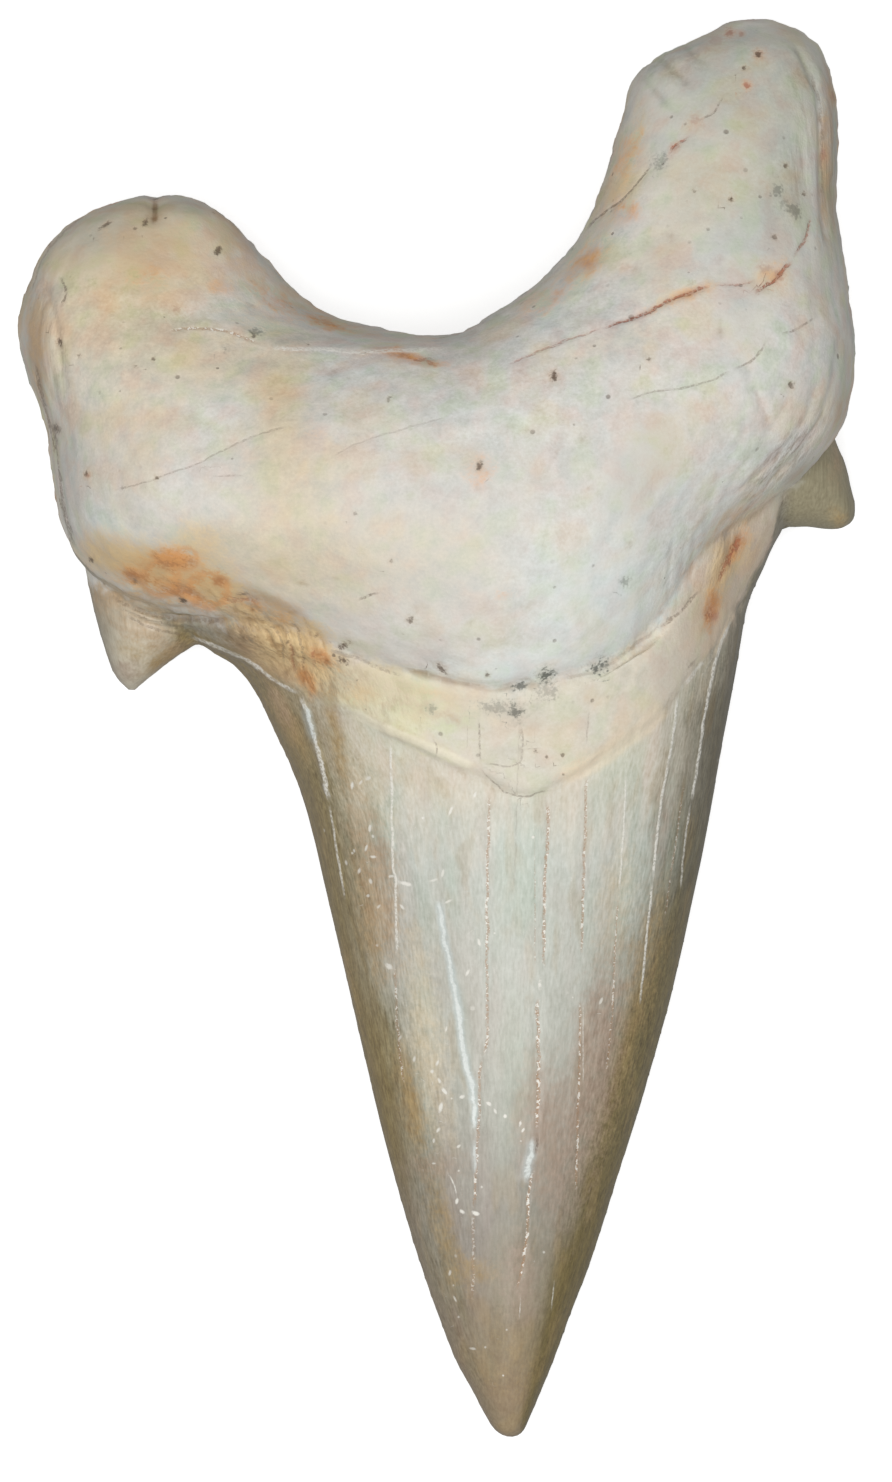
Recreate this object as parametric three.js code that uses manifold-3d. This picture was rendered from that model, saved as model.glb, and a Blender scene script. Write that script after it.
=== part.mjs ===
// A fossil shark tooth, one solid: a triangular blade, a thick arched root with two lobes, the low band
// of the neck between them, and a small side cusplet at each end of the blade's base. It lies on its flat
// outer face, with the swollen inner face up.
// Frame, in millimetres: +Z up, -Y towards the blade's tip, +X across the blade, and the origin under the
// middle of the tooth's box, on the surface it lies on.

import * as THREE from "three";
import { mergeVertices } from "three/addons/utils/BufferGeometryUtils.js";
import Module from "manifold-3d";

const LENGTH = 80; // blade tip to the end of the longer lobe: the whole form is scaled to it
const RING_STEP = 1.5; // spacing of the sections along a body
const UPPER_STEPS = 18; // faces across a section's upper side
const UNDER_STEPS = 12; // faces across its under side
const NECK_RISE = 0.3; // how far the neck band stands over the blade's enamel
const NECK_STEPS = 40; // straight pieces along the neck band's front border
const REST_CUT = 5; // depth of the block that trims the under side flat at z = 0

// How a face leaves an edge: a quarter of a superellipse, which `full` under 1 fills out and `rise` near 2
// brings to a knife edge. The ease goes from the ROUND form at 0 to the SLOPE form at 1.
const ROUND = { full: 0.8, rise: 0.95 };
const SLOPE = { full: 1, rise: 1.9 };
const BLADE_EASE = 0.35;
const ROOT_EASE = 0;
const CUSPLET_EASE = 0.4;
const UNDER_EASE = 0.5; // for the under face of every body

// Each body is lofted through stations. A station gives its section's two edge points, then the crest of
// the upper face and the keel of the under face: the share of the way from the left edge to the right, and
// the height. A fourth number at an edge is the upper face's own ease there, and bow moves the section's
// middle along +Y.

// The blade, from its end inside the root down to its tip. Its keel dips below z = 0, so that the trim
// leaves the long flat that the tooth lies on.
const BLADE = [
  { left: [-18.4, 10.9, 4.4], right: [20.4, 15.4, 4.4], crest: [0.5, 14.6], keel: [0.5, 1.6], bow: -2 },
  { left: [-18.4, 9.8, 2.9], right: [20.6, 14.2, 2.9], crest: [0.5, 15.2], keel: [0.5, 0.4], bow: -2 },
  { left: [-16.8, 7.5, 2.8], right: [19.4, 11.2, 2.8], crest: [0.5, 16.2], keel: [0.5, 0.1], bow: -1 },
  { left: [-13.75, 4.95, 2.7], right: [17.6, 7.2, 2.7], crest: [0.5, 16.3], keel: [0.5, -0.1] },
  { left: [-11.7, 3.85, 2.7], right: [17.15, 5, 2.7], crest: [0.5, 16.1], keel: [0.5, -0.1] },
  { left: [-10.5, 2.4, 2.7], right: [16.75, 2.8, 2.7], crest: [0.5, 15.6], keel: [0.5, -0.15] },
  { left: [-9.1, -0.4, 2.6], right: [16.15, -0.4, 2.6], crest: [0.5, 14.4], keel: [0.5, -0.15] },
  { left: [-7.6, -4, 2.5], right: [15.5, -4, 2.5], crest: [0.5, 12.9], keel: [0.5, -0.15] },
  { left: [-6.4, -8.8, 2.4], right: [14.6, -8.8, 2.4], crest: [0.5, 11.5], keel: [0.5, -0.15] },
  { left: [-5.15, -14.2, 2.3], right: [13.4, -14.2, 2.3], crest: [0.5, 10.1], keel: [0.5, -0.15] },
  { left: [-3.85, -19.8, 2.2], right: [11.85, -19.8, 2.2], crest: [0.5, 8.8], keel: [0.5, -0.15] },
  { left: [-2.55, -25, 2.1], right: [10.25, -25, 2.1], crest: [0.5, 7.6], keel: [0.5, -0.15] },
  { left: [-0.9, -30.5, 2], right: [8.5, -30.5, 2], crest: [0.5, 6.3], keel: [0.5, -0.1] },
  { left: [0.15, -33.4, 1.9], right: [7.35, -33.4, 1.9], crest: [0.5, 5.5], keel: [0.5, 0] },
  { left: [1.2, -36, 1.85], right: [6.4, -36, 1.85], crest: [0.5, 4.7], keel: [0.5, 0.15] },
  { left: [2.15, -37.75, 1.8], right: [5.65, -37.75, 1.8], crest: [0.5, 4], keel: [0.5, 0.4] },
  { left: [2.85, -39.05, 1.8], right: [5.1, -39.05, 1.8], crest: [0.5, 3.3], keel: [0.5, 0.7] },
  { left: [3.45, -39.75, 1.8], right: [4.7, -39.75, 1.8], crest: [0.5, 2.7], keel: [0.5, 1.05] },
  { left: [4, -40, 1.8], right: [4.25, -40, 1.8], crest: [0.5, 2], keel: [0.5, 1.6] },
];

// The root, a thick bar along the arch from the shorter lobe's end to the longer lobe's end. Its left edge
// is the outer one, which meets the neck in the middle. Its right edge is the notch between the lobes.
const ROOT = [
  { left: [-16.8, 30, 5.4], right: [-14.1, 30, 5.4], crest: [0.5, 6.6], keel: [0.5, 4.2] },
  { left: [-18.9, 29.4, 5.5], right: [-12.6, 29.25, 5.5], crest: [0.48, 8.7], keel: [0.5, 2.2] },
  { left: [-21.3, 28, 5.5], right: [-10.85, 27.7, 5.6], crest: [0.44, 10.2], keel: [0.5, 0.9] },
  { left: [-22.95, 25.2, 5.4], right: [-9.05, 25.7, 5.8, 0.3], crest: [0.41, 11.8], keel: [0.5, 0.2] },
  { left: [-23.55, 22.4, 5.3], right: [-7.45, 24.2, 6.2, 0.5], crest: [0.4, 13.3], keel: [0.5, -0.2] },
  { left: [-22.85, 19.6, 5.2], right: [-6, 23.3, 6.7, 0.4], crest: [0.4, 14.7], keel: [0.5, -0.2] },
  { left: [-21.95, 17.1, 5.2], right: [-4.9, 22.9, 7.1, 0.3], crest: [0.4, 15.8], keel: [0.5, -0.1] },
  { left: [-21.6, 14.1, 5.2, 0.1], right: [-3.8, 22.6, 7.7, 0.2], crest: [0.4, 17], keel: [0.5, 0.2] },
  { left: [-20.8, 10.8, 5.4, 0.2], right: [-2.85, 22.35, 8.4, 0.1], crest: [0.4, 18.1], keel: [0.5, 0.5] },
  { left: [-18.6, 8.1, 6, 0.5], right: [-2, 22.15, 9], crest: [0.4, 19], keel: [0.55, 0.8] },
  { left: [-14.5, 6.4, 7.5, 0.8], right: [-1.2, 22.1, 9.6], crest: [0.4, 19.7], keel: [0.6, 1] },
  { left: [-9.5, 5.4, 10.2, 1], right: [-0.5, 22.05, 10], crest: [0.4, 20.2], keel: [0.6, 1.1] },
  { left: [-3, 3.5, 13.8, 1], right: [0.2, 22, 10.2], crest: [0.4, 20.6], keel: [0.6, 1.2] },
  { left: [3, 2.4, 15.2, 1], right: [0.9, 22.1, 10.2], crest: [0.4, 20.8], keel: [0.6, 1.2] },
  { left: [8, 4, 14.6, 1], right: [1.8, 22.4, 10], crest: [0.4, 20.6], keel: [0.6, 1.2] },
  { left: [12.5, 7.4, 12.2, 0.9], right: [2.85, 23.05, 9.8], crest: [0.4, 19.9], keel: [0.6, 1.1] },
  { left: [16.6, 11.2, 8.6, 0.6], right: [3.9, 23.7, 9.5], crest: [0.41, 19.1], keel: [0.6, 1] },
  { left: [20, 13.9, 6.8, 0.4], right: [4.9, 24.45, 9.1], crest: [0.43, 18.3], keel: [0.6, 0.8] },
  { left: [22.5, 16.9, 5.8, 0.1], right: [6, 25.4, 8.7], crest: [0.44, 17.4], keel: [0.55, 0.4] },
  { left: [23.4, 20.8, 5.6], right: [7.25, 26.7, 8.2], crest: [0.46, 16.2], keel: [0.5, 0.1] },
  { left: [23, 25, 5.6], right: [8.4, 28.5, 7.6], crest: [0.48, 14.9], keel: [0.5, -0.2] },
  { left: [22.35, 30, 5.6], right: [9.6, 31.5, 7], crest: [0.48, 13.5], keel: [0.5, -0.2] },
  { left: [22.5, 34.2, 5.6], right: [10.6, 34.9, 6.4], crest: [0.5, 12.2], keel: [0.5, -0.1] },
  { left: [22.1, 36.9, 5.5], right: [11.4, 37, 6], crest: [0.5, 10.9], keel: [0.5, 0.4] },
  { left: [21.4, 38.4, 5.4], right: [12.9, 38.15, 5.7], crest: [0.5, 9.7], keel: [0.5, 1.1] },
  { left: [20.4, 39.3, 5.3], right: [14.5, 38.85, 5.4], crest: [0.5, 8.3], keel: [0.5, 2.1] },
  { left: [18.8, 39.95, 5.1], right: [16.5, 39.85, 5.1], crest: [0.5, 6.4], keel: [0.5, 3.9] },
];

// The side cusplets, each from its base inside the root to its own blunt tip.
const LEFT_CUSPLET = [
  { left: [-20.2, 14.5, 4.6], right: [-10.5, 12.5, 4.4], crest: [0.5, 8], keel: [0.5, 2.4] },
  { left: [-20.1, 10.6, 3.6], right: [-11.5, 8.4, 3], crest: [0.5, 7.6], keel: [0.55, 0.9] },
  { left: [-19.65, 7.5, 3.1], right: [-12.9, 5.4, 2.7], crest: [0.5, 6.9], keel: [0.55, 0.7] },
  { left: [-19.2, 5.8, 2.9], right: [-14.35, 4.35, 2.7], crest: [0.5, 6], keel: [0.55, 0.8] },
  { left: [-18.75, 4.3, 2.8], right: [-15.55, 3.5, 2.7], crest: [0.5, 5.1], keel: [0.5, 1.1] },
  { left: [-18.15, 2.9, 2.7], right: [-16.6, 2.7, 2.7], crest: [0.5, 4], keel: [0.5, 1.6] },
  { left: [-17.45, 2.2, 2.6], right: [-17.15, 2.2, 2.6], crest: [0.5, 2.8], keel: [0.5, 2.4] },
];
const RIGHT_CUSPLET = [
  { left: [14, 16.5, 4.4], right: [20.6, 22.5, 4.6], crest: [0.5, 7.6], keel: [0.5, 2.4] },
  { left: [16, 13.2, 3], right: [21.8, 18.8, 3.7], crest: [0.5, 7.2], keel: [0.45, 0.9] },
  { left: [18.3, 11.6, 2.8], right: [22.45, 16.3, 3.1], crest: [0.5, 6.2], keel: [0.45, 0.7] },
  { left: [20.25, 11.42, 2.8], right: [22.95, 15, 2.9], crest: [0.5, 5.3], keel: [0.45, 0.8] },
  { left: [21.5, 11.4, 2.7], right: [23.28, 13.7, 2.8], crest: [0.5, 4.6], keel: [0.5, 1.1] },
  { left: [22.7, 11.42, 2.7], right: [23.5, 12.5, 2.7], crest: [0.5, 3.8], keel: [0.5, 1.6] },
  { left: [23.35, 11.75, 2.6], right: [23.42, 11.9, 2.6], crest: [0.5, 2.7], keel: [0.5, 2.5] },
];

// The neck band in plan: its front border across the blade, in a slack chevron from shoulder to shoulder,
// and the two corners that close it inside the root.
const NECK_FRONT = [
  [-13.2, 5.3], [-10.4, 3.6], [-7.5, 2.1], [-3.2, 0.1], [0, -1.45], [2.6, -2.6], [5, -3.5],
  [7.2, -2.6], [10, -0.8], [12.4, 1], [14.4, 3.4], [15.8, 5.2], [17.2, 7.4],
];
const NECK_BACK = [[14, 16], [-10, 14]];

// The numbers of a station in one list.
function flat({ left, right, crest, keel, bow = 0 }, bodyEase) {
  const [leftX, leftY, leftZ, leftEase = bodyEase] = left;
  const [rightX, rightY, rightZ, rightEase = bodyEase] = right;
  return [leftX, leftY, leftZ, rightX, rightY, rightZ, ...crest, ...keel, leftEase, rightEase, bow];
}
const STATION_SIZE = 13;

// Where each station lies along the body, by the distance between the middles of its sections.
function distances(stations) {
  const middles = stations.map(({ left, right }) =>
    new THREE.Vector3(...left).add(new THREE.Vector3(...right)).multiplyScalar(0.5));
  const found = [0];
  for (let i = 1; i < middles.length; i++) {
    found.push(found[i - 1] + middles[i].distanceTo(middles[i - 1]));
  }
  return found;
}

// A closed section as a ring of points: over the crest from the left edge to the right, and back over the
// keel.
function ringOf(numbers) {
  const left = new THREE.Vector3(...numbers.slice(0, 3));
  const right = new THREE.Vector3(...numbers.slice(3, 6));
  const [crestShare, crestZ, keelShare, keelZ, leftEase, rightEase, bow] = numbers.slice(6);
  const pointAt = (turn, peakShare, peakZ, eases) => {
    const across = Math.cos(turn); // 1 at the left edge, 0 at the peak and -1 at the right edge
    const onLeft = across > 0;
    const ease = THREE.MathUtils.clamp(onLeft ? eases[0] : eases[1], 0, 1);
    const out = Math.abs(across) ** THREE.MathUtils.lerp(ROUND.full, SLOPE.full, ease);
    const up = Math.sin(turn) ** THREE.MathUtils.lerp(ROUND.rise, SLOPE.rise, ease);
    const place = onLeft ? peakShare * (1 - out) : peakShare + (1 - peakShare) * out;
    const point = new THREE.Vector3().lerpVectors(left, right, place);
    point.y += bow * Math.sin(turn);
    point.z = THREE.MathUtils.lerp(onLeft ? left.z : right.z, peakZ, up);
    return point;
  };
  const ring = [];
  for (let i = 0; i < UPPER_STEPS; i++) {
    ring.push(pointAt((Math.PI * i) / UPPER_STEPS, crestShare, crestZ, [leftEase, rightEase]));
  }
  for (let i = 0; i < UNDER_STEPS; i++) {
    ring.push(pointAt(Math.PI * (1 - i / UNDER_STEPS), keelShare, keelZ, [UNDER_EASE, UNDER_EASE]));
  }
  return ring;
}

// A closed mesh through rings of equally many points, each end closed by a fan about its middle.
function skin(rings) {
  const size = rings[0].length;
  const points = rings.flat();
  const middle = (ring) => ring.reduce((sum, p) => sum.add(p), new THREE.Vector3()).divideScalar(size);
  const first = points.push(middle(rings[0])) - 1;
  const last = points.push(middle(rings.at(-1))) - 1;
  const end = (rings.length - 1) * size;
  const faces = [];
  for (let i = 0; i < size; i++) {
    const j = (i + 1) % size;
    for (let r = 0; r + 1 < rings.length; r++) {
      const [a, b, c, d] = [r * size + i, r * size + j, (r + 1) * size + j, (r + 1) * size + i];
      faces.push(a, c, b, a, d, c);
    }
    faces.push(first, i, j, last, end + j, end + i);
  }
  const geometry = new THREE.BufferGeometry().setFromPoints(points);
  geometry.setIndex(faces);
  return geometry;
}

function loft(stations, bodyEase) {
  const at = distances(stations);
  const samples = stations.flatMap((station) => flat(station, bodyEase));
  const curve = new THREE.CubicInterpolant(at, samples, STATION_SIZE, new Float32Array(STATION_SIZE));
  const rings = [];
  for (let i = 1; i < at.length; i++) {
    const steps = Math.max(2, Math.round((at[i] - at[i - 1]) / RING_STEP));
    for (let k = 0; k < steps; k++) {
      rings.push(ringOf([...curve.evaluate(THREE.MathUtils.lerp(at[i - 1], at[i], k / steps))]));
    }
  }
  rings.push(ringOf(flat(stations.at(-1), bodyEase)));
  return skin(rings);
}

// An upright prism over the neck band's plan, taller than the tooth.
function neckPrism() {
  const front = new THREE.SplineCurve(NECK_FRONT.map((p) => new THREE.Vector2(...p)));
  const back = NECK_BACK.map((p) => new THREE.Vector2(...p));
  const outline = new THREE.Shape([...front.getPoints(NECK_STEPS), ...back]);
  return new THREE.ExtrudeGeometry(outline, { depth: LENGTH, bevelEnabled: false });
}

const wasm = await Module();
wasm.setup();

function solid(geometry) {
  const bare = geometry.clone();
  bare.deleteAttribute("normal");
  bare.deleteAttribute("uv");
  const merged = mergeVertices(bare, 1e-5);
  return new wasm.Manifold(new wasm.Mesh({
    numProp: 3,
    vertProperties: new Float32Array(merged.getAttribute("position").array),
    triVerts: new Uint32Array(merged.index.array),
  }));
}

function geometryOf(manifold) {
  const mesh = manifold.getMesh();
  const geometry = new THREE.BufferGeometry();
  geometry.setAttribute("position", new THREE.BufferAttribute(new Float32Array(mesh.vertProperties), 3));
  geometry.setIndex([...mesh.triVerts]);
  return geometry;
}

const raised = BLADE.map((station) => {
  const [share, height] = station.crest;
  return { ...station, crest: [share, height + NECK_RISE] };
});
const neck = solid(loft(raised, BLADE_EASE)).intersect(solid(neckPrism()));
const bodies = [
  loft(BLADE, BLADE_EASE),
  loft(ROOT, ROOT_EASE),
  loft(LEFT_CUSPLET, CUSPLET_EASE),
  loft(RIGHT_CUSPLET, CUSPLET_EASE),
];
const under = new THREE.BoxGeometry(2 * LENGTH, 2 * LENGTH, REST_CUT);
under.translate(0, 0, -REST_CUT / 2);
const whole = bodies.reduce((joined, body) => joined.add(solid(body)), neck).subtract(solid(under));

const geometry = geometryOf(whole);
geometry.computeBoundingBox();
const { min, max } = geometry.boundingBox;
const scale = LENGTH / (max.y - min.y);
geometry.translate(-(min.x + max.x) / 2, -(min.y + max.y) / 2, -min.z);
geometry.scale(scale, scale, scale);
geometry.computeVertexNormals();

const tooth = new THREE.Mesh(
  geometry,
  new THREE.MeshStandardMaterial({ color: 0xd2c8b0, roughness: 0.55, metalness: 0 }),
);
tooth.name = "tooth";

const part = new THREE.Group();
part.add(tooth);
export default part;
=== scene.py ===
"""Looks of the fossil shark tooth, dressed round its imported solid.

The tooth lies on its flat outer face, +Z up, with its point towards -Y. Lengths in the tables below are
millimetres in that frame, and Blender's own objects are in metres.
"""

import math
from collections import namedtuple

import bmesh
import bpy
import numpy as np
from bpy.props import FloatProperty, FloatVectorProperty, PointerProperty
from mathutils import Matrix, Vector, noise
from mathutils.bvhtree import BVHTree
from mathutils.kdtree import KDTree


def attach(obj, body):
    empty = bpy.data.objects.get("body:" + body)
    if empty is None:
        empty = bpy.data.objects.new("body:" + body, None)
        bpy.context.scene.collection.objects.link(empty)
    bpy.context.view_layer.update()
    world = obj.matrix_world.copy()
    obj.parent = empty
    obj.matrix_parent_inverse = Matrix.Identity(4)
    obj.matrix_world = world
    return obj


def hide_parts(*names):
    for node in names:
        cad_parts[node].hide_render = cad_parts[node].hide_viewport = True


bl_info = {
    "name": "Fossil shark tooth",
    "version": (1, 0, 0),
    "blender": (4, 5, 0),
    "location": "View3D > Sidebar > Fossil tooth",
    "description": "Surface, finish and studio of a fossil shark tooth",
    "category": "Object",
}

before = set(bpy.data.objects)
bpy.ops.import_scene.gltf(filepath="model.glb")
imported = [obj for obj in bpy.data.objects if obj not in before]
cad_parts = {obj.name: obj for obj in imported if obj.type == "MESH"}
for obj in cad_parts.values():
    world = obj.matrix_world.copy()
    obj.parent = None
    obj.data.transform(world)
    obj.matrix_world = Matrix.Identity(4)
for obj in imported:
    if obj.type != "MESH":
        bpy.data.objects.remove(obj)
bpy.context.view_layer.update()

MM = 0.001  # a millimetre in Blender's metres
NODE = "tooth"

SHARP = math.radians(38)  # an edge of the solid that bends by more than this stays an edge
NARROWEST_CUT = 0.17  # the smallest half width of a groove that the fine faces can carry
LINE_REACH = 0.7  # how far beside a line its mark is written
SPOT_MARGIN = 0.75  # how far past a spot's radius its mark is written
FINE_REACH = 0.45  # how far round a line or a spot the faces are divided once more
ROOT_LUMPS = 0.00014  # in metres, how far the root's broad lumps stand out unless a user changes it

FLOOR_HALF = 4.0  # in metres, half the floor's width
KEY_FROM = (-0.05, -0.13, 1.0)  # the side that the key light comes from
KEY_AWAY = 3.0  # in metres, how far off the key light is
LENS = 500.0  # a long lens, which keeps the sides from leaning
SENSOR = 36.0  # the width that the lens is measured against
PICTURE_CENTRE = (0.48, -0.59, 3.5)  # the point in the middle of the picture, at the view height's level

# A line on the inner face in plan: its points, half width, how strongly it shows, and how far it is cut in.
Line = namedtuple("Line", "points width strength cut", defaults=(0.1, 1.0, 0.0))

# A spot in plan: centre, radius, strength, how many times longer than wide, and its turn from +X in degrees.
Spot = namedtuple("Spot", "x y radius strength stretch turn", defaults=(1.0, 1.0, 0.0))

# A soft patch of tint in plan: centre, half length, half width, strength and turn in degrees.
Patch = namedtuple("Patch", "x y long wide strength turn", defaults=(1.0, 0.0))

# Where the root ends on the inner face, from the left rim to the right, and where the enamel begins.
ROOT_BORDER = [
    (-23.5, 9.5), (-20.0, 8.2), (-17.4, 7.3), (-13.4, 6.1), (-10.6, 5.9), (-7.2, 4.9), (-5.2, 3.9),
    (-2.1, 3.25), (0.3, 2.8), (3.0, 2.4), (4.8, 2.35), (6.2, 2.7), (8.3, 3.4), (9.7, 3.9), (11.2, 4.8),
    (12.3, 5.8), (13.5, 7.6), (14.8, 10.2), (16.5, 12.0), (20.5, 14.4), (24.0, 17.5),
]
ENAMEL_BORDER = [
    (-23.5, 9.4), (-20.0, 8.1), (-17.4, 7.0), (-14.0, 5.45), (-11.2, 4.2), (-9.2, 2.95), (-7.6, 2.1),
    (-5.2, 1.2), (-3.2, 0.2), (-1.8, -0.5), (-0.4, -1.2), (1.0, -1.8), (2.4, -2.45), (3.2, -3.1),
    (4.1, -3.6), (4.9, -3.8), (5.8, -3.5), (6.9, -2.9), (8.1, -2.2), (9.2, -1.4), (10.3, -0.7),
    (11.4, 0.0), (12.4, 1.0), (13.5, 2.1), (14.3, 3.1), (15.1, 4.1), (15.9, 5.0), (16.7, 6.4),
    (18.0, 8.8), (19.6, 11.6), (20.6, 14.3), (24.0, 17.4),
]
# How far the root's lower edge lies towards the point from where the solid has it, by x.
FOOT_SHIFT = [
    (-13.0, 0.0), (-9.0, 0.85), (-5.0, 0.9), (0.0, 0.6), (5.0, 0.75), (9.0, 1.45), (11.0, 1.7),
    (13.0, 1.0), (15.0, 0.0),
]
# Under the root's overhang at the right, height tells the root from the cusplet, which ends here.
CUSPLET_TOP = 6.3
# Where the root ends on the outer face. It stands a step higher than the enamel there.
OUTER_BORDER = [
    (-24.0, 13.4), (-17.0, 12.2), (-14.0, 11.2), (-10.0, 10.3), (-5.0, 10.7), (0.0, 11.2), (5.0, 11.7),
    (10.0, 12.6), (15.0, 13.8), (20.0, 15.8), (24.0, 17.3),
]

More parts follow.
